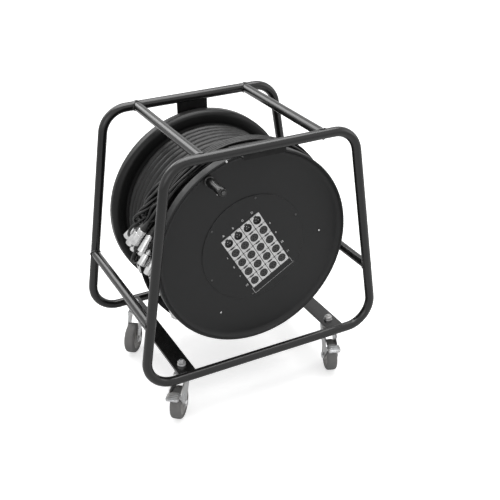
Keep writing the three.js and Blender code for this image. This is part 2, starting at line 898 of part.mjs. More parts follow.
// A tail runs round the fan-out side, lifts off over the rim and ends square to its plug
function tailStations(route) {
  const startAngle = bootEndAngle + seatGap;
  const y = laneY(route.lane);
  const start = onDrum(startAngle, tailRadius, y);
  const heading = onDrum(startAngle + fullTurn / 4, 1, 0);
  const wound = [start, start.clone().addScaledVector(heading, tailDiameter)];
  const sweep = route.leaves + fullTurn - startAngle;
  const steps = Math.ceil((sweep * stepsPerLoop) / fullTurn);
  for (let i = 1; i < steps; i += 1) {
    wound.push(onDrum(startAngle + (sweep * i) / steps, tailRadius, y));
  }
  const axis = plugAxis(route);
  const end = route.plugBack.clone().addScaledVector(axis, -seatGap);
  const entry = end.clone().addScaledVector(axis, -tailDiameter);
  const approach = entry.clone().addScaledVector(axis, -2 * tailDiameter);
  const leave = onDrum(route.leaves, tailRadius, y);
  const free = new THREE.CatmullRomCurve3([leave, ...route.over, approach, entry], false, 'centripetal');
  return [...wound, ...free.getSpacedPoints(Math.ceil(free.getLength() / tailStep)), end];
}

function plug() {
  const radius = plugDiameter / 2;
  const rim = radius - plugRimWall;
  return revolve([
    [0, 0],
    [plugBootDiameter / 2, 0],
    [plugCollarDiameter / 2, plugBootLength],
    [radius, plugBootLength + plugChamfer],
    [radius, plugLength],
    [rim, plugLength],
    [rim, plugLength - plugRimDepth],
    [0, plugLength - plugRimDepth],
  ], plugSides);
}

// The least distance between two turns of a tube, measured on points along its middle line
function leastGap(stations, diameter) {
  const points = stations.flatMap((point, i) => {
    return i === 0 ? [point] : [stations[i - 1].clone().lerp(point, 1 / 2), point];
  });
  let least = Infinity;
  for (let i = 0; i < points.length; i += 1) {
    for (let j = i + stepsPerLoop; j < points.length; j += 1) {
      least = Math.min(least, points[i].distanceTo(points[j]) - diameter);
    }
  }
  return least;
}

// A caster's own frame has its origin on the floor under the swivel, its wheel on the +X side
function casterStem() {
  const radius = stemDiameter / 2;
  const nutFoot = casterHeight + barThickness + seatGap;
  const raceFoot = crownTop + seatGap;
  const rivetTop = crownUnderside - seatGap;
  const turned = revolve([
    [0, rivetTop - rivetThickness],
    [rivetDiameter / 2, rivetTop - rivetThickness],
    [rivetDiameter / 2, rivetTop],
    [radius, rivetTop],
    [radius, raceFoot],
    [raceDiameter / 2, raceFoot],
    [raceDiameter / 2, raceFoot + raceThickness],
    [radius, raceFoot + raceThickness],
    [radius, nutFoot + stemNutThickness],
    [0, nutFoot + stemNutThickness],
  ], stemSides).rotateX(Math.PI / 2);
  const nutRadius = stemNutWidth / 2 / Math.cos(Math.PI / 6);
  return join(turned, cylinderAlongZ(nutRadius, nutFoot, nutFoot + stemNutThickness, 6));
}

function forkProfile(braked) {
  const half = forkCrownLength / 2;
  const boss = forkBossDiameter / 2;
  const shape = new THREE.Shape();
  shape.moveTo(-half, crownTop);
  shape.lineTo(-half, crownTop - forkCrownRim);
  shape.absarc(casterTrail, axleHeight, boss, Math.PI, 2 * Math.PI, false);
  if (braked) {
    const ear = pedalEarDiameter / 2;
    const earX = casterTrail + pedalPivotReach;
    shape.absarc(earX, axleHeight + pedalPivotRise, ear, 0, Math.PI / 2, false);
  }
  shape.lineTo(half, crownTop - (braked ? 0 : forkCrownRim));
  shape.lineTo(half, crownTop);
  return shape;
}

function pedalPivot() {
  return new THREE.Vector3(casterTrail + pedalPivotReach, 0, axleHeight + pedalPivotRise);
}

// A pressed fork: one outline across both legs, hollowed for the wheel under its crown
function casterFork(braked) {
  const inside = wheelWidth + 2 * wheelSideGap;
  const width = inside + 2 * forkLegThickness;
  const length = 2 * (forkCrownLength + casterTrail + pedalTabReach);
  const hollow = new THREE.BoxGeometry(length, inside, crownUnderside + cutOverrun);
  hollow.translate(0, 0, (crownUnderside - cutOverrun) / 2);
  const side = width / 2 + cutOverrun;
  const axleBore = boreAround(casterBoltDiameter / 2, stemSides);
  const stemBore = boreAround(stemDiameter / 2, stemSides);
  const cutters = [
    hollow,
    cylinderAlongY(axleBore, -side, side, stemSides).translate(casterTrail, 0, axleHeight),
    cylinderAlongZ(stemBore, crownUnderside - cutOverrun, crownTop + cutOverrun, stemSides),
  ];
  if (braked) {
    const pivot = pedalPivot();
    const hole = cylinderAlongY(boreAround(pedalPinDiameter / 2, stemSides), -side, side, stemSides);
    cutters.push(hole.translate(pivot.x, 0, pivot.z));
  }
  return cut(extrudeAcross(forkProfile(braked), width), ...cutters);
}

// The wheel turns about its own Y axis, with a flat of its faceted tread on the floor
function casterWheel() {
  const bore = boreAround(casterBoltDiameter / 2, wheelSegments);
  const half = wheelWidth / 2;
  const web = half - hubRecess;
  const tread = wheelDiameter / 2;
  const side = [
    [bore, half],
    [hubBossDiameter / 2, half],
    [hubBossDiameter / 2 + hubTaper, web],
    [hubDiameter / 2, web],
    [hubDiameter / 2 + hubTaper, half],
    [tread - treadDrop, half],
    [tread, half - treadShoulder],
  ];
  const other = side.map(([radius, along]) => [radius, -along]).reverse();
  return revolve([...side, ...other], wheelSegments).rotateY(Math.PI / wheelSegments);
}

function casterBolt() {
  const radius = casterBoltDiameter / 2;
  const head = casterBoltHeadDiameter / 2;
  const foot = wheelWidth / 2 + wheelSideGap + forkLegThickness + seatGap;
  const end = foot + casterBoltHeadThickness;
  return revolve([[0, -end], [head, -end], [head, -foot], [radius, -foot],
    [radius, foot], [head, foot], [head, end], [0, end]], stemSides);
}

// The pedal's own frame has its origin on its pivot
function brakePedal() {
  const tabFoot = pedalTabRise - pedalTabThickness;
  const outline = [
    [-pedalHeel, -pedalHeel / 2],
    [0, -pedalPinDiameter],
    [pedalShoeReach - pedalTabThickness / 2, -pedalShoeDrop],
    [pedalShoeReach + pedalTabThickness / 2, -pedalShoeDrop],
    [pedalShoeReach + pedalTabThickness, tabFoot],
    [pedalTabReach, tabFoot],
    [pedalTabReach, pedalTabRise],
    [pedalTabThickness, pedalTabRise],
    [-pedalHeel, pedalHeel],
  ];
  const body = extrudeAcross(new THREE.Shape(outline.map(([x, z]) => new THREE.Vector2(x, z))), pedalWidth);
  const reach = wheelWidth / 2 + wheelSideGap + forkLegThickness;
  return join(body, cylinderAlongY(pedalPinDiameter / 2, -reach, reach, stemSides));
}

function finish(color, roughness, metalness) {
  return new THREE.MeshStandardMaterial({ color, roughness, metalness });
}

const blackPowderCoat = finish(0x17181a, 0.55, 0.2);
const greyPowderCoat = finish(0x34363a, 0.5, 0.2);
const zincPlate = finish(0xb9bcc0, 0.35, 0.9);
const nickelPlate = finish(0x9b9ea3, 0.3, 0.9);
const greyRubber = finish(0x6c6e70, 0.8, 0);
const cableJacket = finish(0x26272a, 0.7, 0);
const tailJacket = finish(0x1d1e20, 0.7, 0);
const plugShell = finish(0xb4b6ba, 0.3, 0.9);
const gripPlastic = finish(0x101112, 0.4, 0);

const cordMeshes = [];

function piece(parent, name, geometry, material) {
  const mesh = new THREE.Mesh(geometry, material);
  mesh.name = name;
  parent.add(mesh);
  return mesh;
}

function groupAt(parent, x, y, z) {
  const group = new THREE.Group();
  group.position.set(x, y, z);
  parent.add(group);
  return group;
}

function addFrame(parent) {
  piece(parent, 'front_loop', weld(loopTube(tubeRadius, frontLoopY)), blackPowderCoat);
  piece(parent, 'rear_loop', weld(loopTube(tubeRadius, rearLoopY)), blackPowderCoat);
  const sides = { left: -1, right: 1 };
  for (const [side, sign] of Object.entries(sides)) {
    const top = crossTube((sign * topCrossTubeSpacing) / 2, loopRise);
    const low = crossTube(sign * legHalfWidth(sideCrossTubeRise), sideCrossTubeRise);
    piece(parent, `top_cross_tube_${side}`, top, blackPowderCoat);
    piece(parent, `side_cross_tube_${side}`, low, blackPowderCoat);
    piece(parent, `caster_bar_${side}`, casterBar((sign * barSpacing) / 2), blackPowderCoat);
  }
  piece(parent, 'front_bearing_plate', frontBearingPlate(), blackPowderCoat);
  piece(parent, 'rear_bearing_plate', rearBearingPlate(), blackPowderCoat);
  const axis = groupAt(parent, 0, 0, drumAxisRise);
  const frontBase = plateBackFace + seatGap;
  const rearBase = rearPlateFrontFace - seatGap;
  piece(axis, 'front_bearing', bearing(frontBase, frontBase + bearingDepth), zincPlate);
  piece(axis, 'rear_bearing', bearing(rearBase, rearBase - rearBearingDepth), zincPlate);
}

function addDrum(drum) {
  piece(drum, 'hollow_axle', hollowAxle(), zincPlate);
  piece(drum, 'drum_barrel', drumBarrel(), blackPowderCoat);
  piece(drum, 'rear_flange', rearFlange(), greyPowderCoat);
  piece(drum, 'middle_flange', middleFlange(), greyPowderCoat);
  piece(drum, 'fanout_barrel', fanoutBarrel(), greyPowderCoat);
  piece(drum, 'stage_box_housing', stageBoxHousing(), greyPowderCoat);
  piece(drum, 'stage_box_dish', stageBoxDish(), greyPowderCoat);
  piece(drum, 'access_cover', accessCover(), greyPowderCoat).position.y = coverBack;
  const crank = groupAt(drum, ...onDrum(crankAngle, crankRadius, dishFace - seatGap).toArray());
  piece(crank, 'crank_bracket', crankBoss(), zincPlate);
  piece(crank, 'crank_pin', crankPin(), zincPlate);
  piece(crank, 'crank_grip', crankGrip(), gripPlastic);
}

function addSockets(drum) {
  const grid = groupAt(drum, gridOffsetX, flangeBack, gridOffsetZ);
  grid.rotation.y = -gridAngle * degree;
  const male = socketRow(maleCupDiameter, maleCupDepth);
  piece(grid, 'male_socket_row', male, nickelPlate).position.z = socketRise(0);
  for (let row = 1; row <= femaleRows; row += 1) {
    const female = socketRow(femaleMouthDiameter, femaleMouthDepth);
    piece(grid, `female_socket_row_${row}`, female, nickelPlate).position.z = socketRise(row);
  }
}

function addCable(drum) {
  const stations = windingStations();
  piece(drum, 'cable_core', cableCore(), cableJacket);
  piece(drum, 'cable_winding', tubeAlong(stations, cableRadius, cableSides), cableJacket);
  piece(drum, 'breakout_boot', breakoutBoot(), tailJacket);
  piece(drum, 'tail_core', tailCore(), tailJacket);
  console.log(`least gap of cable_winding to itself: ${leastGap(stations, cableDiameter).toFixed(2)} mm`);
}

function addTails(drum) {
  tailRoutes.forEach((route, i) => {
    const stations = tailStations(route);
    const tail = piece(drum, `tail_${i + 1}`, tubeAlong(stations, tailRadiusOwn, tailSides), tailJacket);
    const end = piece(drum, `plug_${i + 1}`, plug(), plugShell);
    end.position.copy(route.plugBack);
    end.quaternion.setFromUnitVectors(new THREE.Vector3(0, 1, 0), plugAxis(route));
    cordMeshes.push(tail, end);
    const length = new Route(stations).stations.reduce((sum, point, j) => {
      return j === 0 ? 0 : sum + point.distanceTo(stations[j - 1]);
    }, 0);
    console.log(`tail_${i + 1}: ${length.toFixed(0)} mm long`);
  });
}

function addCaster(parent, place, x, y, heading, braked) {
  const stand = groupAt(parent, x, y, -tubeHeight);
  piece(stand, `caster_stem_${place}`, casterStem(), zincPlate);
  const swivel = groupAt(stand, 0, 0, 0);
  swivel.rotation.z = heading * degree;
  piece(swivel, `caster_fork_${place}`, casterFork(braked), zincPlate);
  const hub = groupAt(swivel, casterTrail, 0, axleHeight);
  piece(hub, `caster_wheel_${place}`, casterWheel(), greyRubber);
  piece(hub, `caster_axle_${place}`, casterBolt(), zincPlate);
  if (braked) {
    piece(swivel, `brake_pedal_${place}`, brakePedal(), zincPlate).position.copy(pedalPivot());
  }
}

function addCasters(parent) {
  const x = barSpacing / 2;
  const y = casterBaseLength / 2;
  addCaster(parent, 'front_left', -x, -y, frontLeftHeading, true);
  addCaster(parent, 'front_right', x, -y, frontRightHeading, true);
  addCaster(parent, 'rear_left', -x, y, rearLeftHeading, false);
  addCaster(parent, 'rear_right', x, y, rearRightHeading, false);
}

// The box of every piece but the free tails and plugs, whose middle is the part's own middle
function standingBox(assembly) {
  const box = new THREE.Box3();
  assembly.updateWorldMatrix(true, true);
  assembly.traverse((item) => {
    if (item.isMesh && !cordMeshes.includes(item)) {
      box.expandByObject(item, true);
    }
  });
  return box;
}

const group = new THREE.Group();
const assembly = groupAt(group, 0, 0, tubeHeight);
addFrame(assembly);
const drum = groupAt(assembly, 0, 0, drumAxisRise);
addDrum(drum);
addSockets(drum);
addCable(drum);
addTails(drum);
addCasters(assembly);
const middle = standingBox(assembly).getCenter(new THREE.Vector3());
assembly.position.x -= middle.x;
assembly.position.y -= middle.y;

export default group;
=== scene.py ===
"""Stage box snake: a multicore cable drum that turns in a rolling tube frame.

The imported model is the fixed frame. Every piece here is built in metres at its place in that
frame, rides on one of its bodies and takes a procedural finish.
"""

import json
import logging
import math
from collections.abc import Iterable, Sequence
from dataclasses import dataclass, field
from enum import Enum

import bmesh
import bpy
from mathutils import Matrix, Vector


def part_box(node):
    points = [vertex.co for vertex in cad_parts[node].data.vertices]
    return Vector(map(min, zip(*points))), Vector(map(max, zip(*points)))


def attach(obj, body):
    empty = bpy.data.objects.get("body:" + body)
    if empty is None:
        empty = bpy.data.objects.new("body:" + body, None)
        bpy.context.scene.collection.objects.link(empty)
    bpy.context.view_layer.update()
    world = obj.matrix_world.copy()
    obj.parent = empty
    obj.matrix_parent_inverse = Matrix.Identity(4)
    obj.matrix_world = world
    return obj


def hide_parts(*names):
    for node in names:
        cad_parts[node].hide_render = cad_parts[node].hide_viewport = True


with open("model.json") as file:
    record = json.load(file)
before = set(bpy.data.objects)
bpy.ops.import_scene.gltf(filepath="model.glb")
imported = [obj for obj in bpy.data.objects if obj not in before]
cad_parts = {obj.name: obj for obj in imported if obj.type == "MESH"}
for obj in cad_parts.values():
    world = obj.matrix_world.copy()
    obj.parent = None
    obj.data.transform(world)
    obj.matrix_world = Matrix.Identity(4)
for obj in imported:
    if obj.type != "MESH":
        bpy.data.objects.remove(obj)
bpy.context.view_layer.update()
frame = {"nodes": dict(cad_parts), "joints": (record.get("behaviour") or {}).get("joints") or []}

log = logging.getLogger("stage_box_snake")

MM = 0.001
WELD = 1e-6
CREASE = 35.0
TUBE_SIDES = 28
PLATE_EDGE = 0.0006
FORK_EDGE = 0.0005
AXLE_HOLE = 24.4
PIN_TURNS = (90, 210, 330)
FEMALE_ROWS = 4
COLUMNS = 4
UP = Vector((0, 0, 1))
DRUM = Vector(next(joint["pos_m"] for joint in frame["joints"] if joint["name"] == "drum_spin"))
STAND = Matrix.Rotation(math.pi / 2, 4, "X")
ABOUT = Matrix.Rotation(math.pi, 4, "Z")
Profile = list[tuple[float, float]]
Spot = tuple[float, float, float]
Colour = tuple[float, float, float, float]
Form = bmesh.types.BMesh
Piece = bpy.types.Object
Socket = bpy.types.NodeSocket


class Body(Enum):
    """The bodies of the frame that pieces ride on."""

    FRAME = "frame"
    DRUM = "drum"
    GRIP = "crank_grip"


class Slot(Enum):
    """The material slots of the record."""

    FRAME_COAT = "frame_coat"
    DRUM_COAT = "drum_coat"
    ZINC = "zinc"
    NICKEL = "nickel"
    PLUG_METAL = "plug_metal"
    CABLE_JACKET = "cable_jacket"
    WHEEL_RUBBER = "wheel_rubber"
    GRIP_PLASTIC = "grip_plastic"


def polar(angle: float, radius: float, along: float) -> Vector:
    """A place on the drum.

    Args:
        angle: Degrees from +X towards +Z.
        radius: Distance from the drum's axis, in millimetres.
        along: Distance along the axis from the drum's origin, in millimetres.

    Returns:
        The point in the row frame, in metres.
    """
    turn = math.radians(angle)
    return DRUM + Vector((radius * math.cos(turn), along, radius * math.sin(turn))) * MM


def basis(across: Vector, along: Vector, up: Vector, origin: Vector) -> Matrix:
    """A placing matrix from three directions and an origin."""
    turned = Matrix((across, along, up)).transposed().to_4x4()
    return Matrix.Translation(origin) @ turned


def facing(direction: Vector, origin: Vector) -> Matrix:
    """A placing matrix whose +Y axis looks along a direction."""
    turned = Vector((0, 1, 0)).rotation_difference(direction.normalized()).to_matrix().to_4x4()
    return Matrix.Translation(origin) @ turned


def ease(share: float) -> float:
    """A share that starts and ends slowly."""
    return share * share * (3 - 2 * share)


ON_DRUM = Matrix.Translation(DRUM)


class Sheet:
    """A node tree with short calls for adding and linking nodes."""

    def __init__(self, tree: bpy.types.NodeTree) -> None:
        """Keeps the tree.

        Args:
            tree: The material's or the group's node tree.
        """
        self.tree = tree

    def feed(self, target: Socket, value: object) -> None:
        """Gives an input a value, or links a socket to it."""
        if isinstance(value, Socket):
            self.tree.links.new(value, target)
        else:
            target.default_value = value

    def add(self, kind: str, inputs: dict | None = None, **settings: object) -> bpy.types.Node:
        """Adds one node.

        Args:
            kind: The node's type without its ShaderNode prefix.
            inputs: Values or sockets for its inputs, by name or index.
            settings: Properties of the node.

        Returns:
            The new node.
        """
        node = self.tree.nodes.new(f"ShaderNode{kind}")
        for name, value in settings.items():
            setattr(node, name, value)
        for key, value in (inputs or {}).items():
            self.feed(node.inputs[key], value)
        return node

    def fill(self, node: str, values: dict[str, object]) -> None:
        """Feeds inputs of a node that the tree already has."""
        for label, value in values.items():
            self.feed(self.tree.nodes[node].inputs[label], value)

    def math(self, operation: str, *values: object) -> Socket:
        """The result of one math operation on values or sockets."""
        return self.add("Math", dict(enumerate(values)), operation=operation).outputs[0]

    def ramp(self, value: Socket, low: float, high: float) -> Socket:
        """A smooth mask that rises from 0 at low to 1 at high."""
        inputs = {"Value": value, "From Min": low, "From Max": high}
        return self.add("MapRange", inputs, interpolation_type="SMOOTHSTEP").outputs[0]

    def noise(self, place: Socket, scale: Socket, detail: float) -> Socket:
        """A noise over a place."""
        inputs = {"Vector": place, "Scale": scale, "Detail": detail}
        return self.add("TexNoise", inputs).outputs[0]

    def blend(self, mask: object, first: object, second: object) -> Socket:
        """A colour between two, by a mask."""
        node = self.add("Mix", data_type="RGBA")
        colours = [socket for socket in node.inputs if socket.type == "RGBA"]
        for socket, value in zip((node.inputs["Factor"], *colours), (mask, first, second)):
            self.feed(socket, value)
        return next(socket for socket in node.outputs if socket.type == "RGBA")


def new_group(name: str, inputs: dict[str, float], outputs: Iterable[str]) -> tuple[Sheet, dict]:
    """Starts a shader node group.

    Args:
        name: The group's name.
        inputs: Its inputs with their default values.
        outputs: The names of its outputs, all of them masks or heights.

    Returns:
        The group's sheet, and its input sockets by name with its outputs under "out".
    """
    tree = bpy.data.node_groups.new(name, "ShaderNodeTree")
    for label, value in inputs.items():
        socket = tree.interface.new_socket(label, in_out="INPUT", socket_type="NodeSocketFloat")
        socket.default_value = value
    for label in outputs:
        tree.interface.new_socket(label, in_out="OUTPUT", socket_type="NodeSocketFloat")
    entry = tree.nodes.new("NodeGroupInput")
    ends: dict = {label: entry.outputs[label] for label in inputs}
    ends["out"] = tree.nodes.new("NodeGroupOutput").inputs
    return Sheet(tree), ends


def coat_grain_group() -> bpy.types.NodeTree:
    """The peel of a powder coat and the slow change of its tone."""
    sheet, ends = new_group("coat_grain", {"Grain": 700.0, "Patch": 9.0}, ["Height", "Tone"])
    place = sheet.add("TexCoord").outputs["Object"]
    sheet.feed(ends["out"]["Height"], sheet.noise(place, ends["Grain"], 3.0))
    sheet.feed(ends["out"]["Tone"], sheet.ramp(sheet.noise(place, ends["Patch"], 5.0), 0.3, 0.7))
    return sheet.tree


def edge_wear_and_highlight_group() -> bpy.types.NodeTree:
    """Rubbed edges and a few small chips, which also paint a highlight along sharp edges."""
    sheet, ends = new_group("edge_wear_and_highlight", {"Reach": 0.5, "Scale": 60.0}, ["Mask"])
    noise = sheet.noise(sheet.add("TexCoord").outputs["Object"], ends["Scale"], 6.0)
    edge = sheet.add("NewGeometry").outputs["Pointiness"]
    chipped_and_lit = sheet.math("MULTIPLY", sheet.ramp(edge, 0.53, 0.62), sheet.ramp(noise, 0.42, 0.6))
    sheet.feed(ends["out"]["Mask"], sheet.math("MULTIPLY", chipped_and_lit, ends["Reach"]))
    return sheet.tree


def settled_dust_group() -> bpy.types.NodeTree:
    """Dust that lies on surfaces that look up."""
    sheet, ends = new_group("settled_dust", {"Amount": 0.3, "Scale": 30.0}, ["Mask"])
    place = sheet.add("TexCoord").outputs
    height = sheet.add("SeparateXYZ", {0: place["Normal"]}).outputs["Z"]
    noise = sheet.noise(place["Object"], ends["Scale"], 8.0)
    lies = sheet.math("MULTIPLY", sheet.ramp(height, 0.15, 0.95), sheet.ramp(noise, 0.35, 0.75))
    sheet.feed(ends["out"]["Mask"], sheet.math("MULTIPLY", lies, ends["Amount"]))
    return sheet.tree


def wound_streaks_group() -> bpy.types.NodeTree:
    """Streaks that run round the drum, along the turns of a cable."""
    sheet, ends = new_group("wound_streaks", {"Scale": 420.0, "Stretch": 1.6}, ["Mask"])
    place = sheet.add("TexCoord").outputs["Object"]
    middle = sheet.add("Mapping", {"Vector": place, "Location": tuple(-DRUM)}).outputs[0]
    parts = sheet.add("SeparateXYZ", {0: middle}).outputs
    squares = [sheet.math("POWER", parts[name], 2.0) for name in "XZ"]
    radius = sheet.math("SQRT", sheet.math("ADD", *squares))
    turn = sheet.math("DIVIDE", sheet.math("ARCTAN2", parts["Z"], parts["X"]), ends["Scale"])
    turn = sheet.math("MULTIPLY", turn, sheet.math("MULTIPLY", ends["Stretch"], 8.0))
    line = sheet.add("CombineXYZ", {0: radius, 1: parts["Y"], 2: turn}).outputs[0]
    noise = sheet.noise(line, ends["Scale"], 4.0)
    sheet.feed(ends["out"]["Mask"], sheet.ramp(noise, 0.3, 0.72))
    return sheet.tree


GROUPS = {tree.name: tree for tree in (coat_grain_group(), edge_wear_and_highlight_group(),
                                       settled_dust_group(), wound_streaks_group())}


def grey(value: float, warmth: float = 0.0) -> Colour:
    """A linear grey, a little warm or cool."""
    return (value * (1 + warmth), value, value * (1 - warmth), 1.0)


@dataclass(frozen=True)
class Finish:
    """One painted, plated or moulded finish, how it has aged, and the highlight painted on its sharp
    edges.

    Attributes:
        name: The material's name.
        colour: Linear base colour.
        second: The colour of its slow patches.
        worn_and_lit: The colour of rubbed edges, which also paints a highlight on them.
        metallic: 1 for bare or plated metal.
        roughness: Roughness of the clean surface.
        rough_spread: How much the patches add to the roughness.
        grain: Noise scale of the fine grain.
        patch: Noise scale of the slow patches.
        bump: Height of the fine grain, in metres.
        wear_and_highlight: How far the edges are rubbed and lit by a painted highlight.
        dust: How much dust lies on top.
        coat: Weight of a clear coat.
        coat_roughness: Roughness of the clear coat.
        streaks: Whether streaks run round the drum.
        specular: Strength of the sheen of a coat, 0.5 for common paint.
    """

    name: str
    colour: Colour
    second: Colour
    worn_and_lit: Colour = grey(0.12)
    metallic: float = 0.0
    roughness: float = 0.5
    rough_spread: float = 0.1
    grain: float = 700.0
    patch: float = 9.0
    bump: float = 0.00012
    wear_and_highlight: float = 0.5
    dust: float = 0.25
    coat: float = 0.0
    coat_roughness: float = 0.12
    streaks: bool = False
    specular: float = 0.5

    def material(self) -> bpy.types.Material:
        """The Blender material, made on first use.

        Returns:
            The finish's material.
        """
        known = bpy.data.materials.get(self.name)
        if known:
            return known
        made = bpy.data.materials.new(self.name)
        made.use_nodes = True
        sheet = Sheet(made.node_tree)
        shared = {"coat_grain": {"Grain": self.grain, "Patch": self.patch},
                  "edge_wear_and_highlight": {"Reach": self.wear_and_highlight}, "settled_dust": {"Amount": self.dust}}
        grain, wear_and_highlight, dust = (sheet.add("Group", values, node_tree=GROUPS[name]).outputs
                             for name, values in shared.items())
        tone, height = grain["Tone"], grain["Height"]
        if self.streaks:
            streaks = sheet.add("Group", node_tree=GROUPS["wound_streaks"]).outputs["Mask"]
            tone = sheet.math("MULTIPLY", sheet.math("ADD", tone, streaks), 0.5)
            height = sheet.math("ADD", height, streaks)
        colour = sheet.blend(tone, self.colour, self.second)
        # On the dark finishes the worn colour is lighter, so rubbed edges also carry a painted
        # highlight.
        colour = sheet.blend(wear_and_highlight["Mask"], colour, self.worn_and_lit)
        colour = sheet.blend(dust["Mask"], colour, DUST)
        spread = sheet.math("MULTIPLY_ADD", tone, self.rough_spread, self.roughness)
        rough = sheet.math("MULTIPLY_ADD", dust["Mask"], 0.5, spread)
        bump = sheet.add("Bump", {"Height": height, "Distance": self.bump, "Strength": 0.8})
        sheet.fill("Principled BSDF", {
            "Metallic": self.metallic, "Specular IOR Level": self.specular,
            "Coat Weight": self.coat, "Coat Roughness": self.coat_roughness,
            "Base Color": colour, "Roughness": rough, "Normal": bump.outputs[0]})
        return made


DUST = grey(0.2, 0.04)
FRAME_COAT = Finish("satin_black_coat", grey(0.007), grey(0.0085), worn_and_lit=grey(0.05), roughness=0.2,
                    rough_spread=0.02, grain=900.0, patch=4.0, bump=0.00004, wear_and_highlight=0.2, dust=0.02,
                    specular=0.58)
# The frame's coat made darker and duller for the bearing plates, to paint the shade under the tubes.
FRAME_COAT_IN_PAINTED_SHADE = Finish("frame_coat_in_painted_shade", grey(0.0055), grey(0.007), worn_and_lit=grey(0.04), roughness=0.4,
                    rough_spread=0.03, grain=1100.0, patch=4.0, bump=0.00005, wear_and_highlight=0.2, dust=0.01,
                    specular=0.25)
DRUM_COAT = Finish("textured_grey_coat", grey(0.0175, -0.02), grey(0.0195, -0.02), worn_and_lit=grey(0.12),
                   roughness=0.46, rough_spread=0.02, grain=1500.0, patch=4.0, bump=0.00008,
                   wear_and_highlight=0.5, dust=0.02, specular=0.36)
# The drum's coat made darker for the flanges and the fan-out barrel, to paint the shade that lies on
# them.
DRUM_COAT_IN_PAINTED_SHADE = Finish("drum_coat_in_painted_shade", grey(0.01), grey(0.012), worn_and_lit=grey(0.1), roughness=0.34,
                     rough_spread=0.03, grain=1100.0, patch=4.0, bump=0.00006, wear_and_highlight=0.3, dust=0.02,
                     specular=0.24)
BLACK_ZINC = Finish("black_zinc", grey(0.12), grey(0.09), worn_and_lit=grey(0.3), metallic=1.0,
                    roughness=0.36, grain=400.0, patch=60.0, bump=0.00002, dust=0.05)
ZINC = Finish("bright_zinc", grey(0.62, -0.02), grey(0.5, 0.02), worn_and_lit=grey(0.75), metallic=0.85,
              roughness=0.26, rough_spread=0.16, grain=260.0, patch=40.0, bump=0.00003, dust=0.1)
NICKEL = Finish("satin_nickel", grey(0.74), grey(0.66), worn_and_lit=grey(0.78), metallic=0.7,
                roughness=0.24, rough_spread=0.1, grain=600.0, patch=60.0, bump=0.00002, dust=0.05)
PLUG_NICKEL = Finish("plug_nickel", grey(0.78), grey(0.64), worn_and_lit=grey(0.85), metallic=1.0,
                     roughness=0.2, rough_spread=0.12, grain=500.0, patch=80.0, bump=0.00002,
                     dust=0.04)
BLACK_INSERT = Finish("black_insert", grey(0.012), grey(0.018), worn_and_lit=grey(0.05), roughness=0.35,
                      grain=1200.0, patch=50.0, bump=0.00004, wear_and_highlight=0.3, dust=0.05)
GREY_INSERT = Finish("grey_insert", grey(0.04), grey(0.052), worn_and_lit=grey(0.1), roughness=0.4,
                     grain=1200.0, patch=50.0, bump=0.00004, wear_and_highlight=0.3, dust=0.05)
# Near-black discs laid on the socket faces to paint the shade inside the contact holes.
HOLE_PAINTED_SHADE = Finish("painted_hole_shade", grey(0.004), grey(0.006), roughness=0.7, wear_and_highlight=0.0, dust=0.0)
CABLE_JACKET = Finish("multicore_jacket", grey(0.009), grey(0.02), worn_and_lit=grey(0.06), roughness=0.3,
                      rough_spread=0.16, grain=800.0, patch=14.0, bump=0.0001, dust=0.08,
                      streaks=True, specular=0.34)
TAIL_JACKET = Finish("tail_jacket", grey(0.008), grey(0.018), worn_and_lit=grey(0.06), roughness=0.28,
                     rough_spread=0.16, grain=900.0, patch=25.0, bump=0.00007, dust=0.06,
                     streaks=True, specular=0.4)
BOOT_RUBBER = Finish("boot_rubber", grey(0.016), grey(0.024), worn_and_lit=grey(0.06), roughness=0.5,
                     grain=900.0, patch=20.0, bump=0.0001, dust=0.2)
GREY_BOOT = Finish("grey_boot", grey(0.09), grey(0.12), worn_and_lit=grey(0.2), roughness=0.5,
                   grain=900.0, patch=40.0, bump=0.00006, dust=0.1)
TREAD_RUBBER = Finish("grey_tread", grey(0.2, 0.01), grey(0.24, 0.02), worn_and_lit=grey(0.32),
                      roughness=0.68, grain=700.0, patch=30.0, bump=0.00025, wear_and_highlight=0.6, dust=0.35)
HUB_PLASTIC = Finish("light_hub", grey(0.42, 0.02), grey(0.5, 0.03), worn_and_lit=grey(0.6), roughness=0.45,
                     grain=600.0, patch=30.0, bump=0.00008, dust=0.2)
GRIP_PLASTIC = Finish("gloss_grip", grey(0.006), grey(0.008), worn_and_lit=grey(0.03), roughness=0.24,
                      rough_spread=0.06, grain=900.0, bump=0.00002, dust=0.02, coat=0.15)
LABEL_INK = Finish("label_ink", grey(0.8), grey(0.86), worn_and_lit=grey(0.3), roughness=0.5,
                   grain=1500.0, bump=0.00001, wear_and_highlight=0.4, dust=0.05)


def only(items: Iterable[object], kind: type) -> list:
    """The items of one kind, such as the vertices of an extrusion."""
    return [item for item in items if isinstance(item, kind)]


def sewn(form: Form, gap: float = 0.0) -> Form:
    """The form with its normals outward and points within a gap joined."""
    if gap:
        bmesh.ops.remove_doubles(form, verts=form.verts, dist=gap)
    bmesh.ops.recalc_face_normals(form, faces=form.faces)
    return form


def placed(form: Form, place: Matrix) -> Form:
    """The form after a move."""
    bmesh.ops.transform(form, matrix=place, verts=form.verts)
    return form


def shift(x: float, y: float, z: float) -> Matrix:
    """A move in millimetres."""
    return Matrix.Translation(Vector((x, y, z)) * MM)


def around(reach: float) -> list[Matrix]:
    """The places of three pins round the Y axis, at a distance in millimetres."""
    turns = [math.radians(turn) for turn in PIN_TURNS]
    return [Matrix.Translation(Vector((math.cos(turn), 0, math.sin(turn))) * reach * MM)
            for turn in turns]


def soften(form: Form, edges: Iterable[bmesh.types.BMEdge], width: float, steps: int = 2) -> None:
    """Bevels edges by a width in millimetres."""
    bmesh.ops.bevel(form, geom=list(edges), offset=width * MM, segments=steps, profile=0.5,
                    affect="EDGES", material=-1)


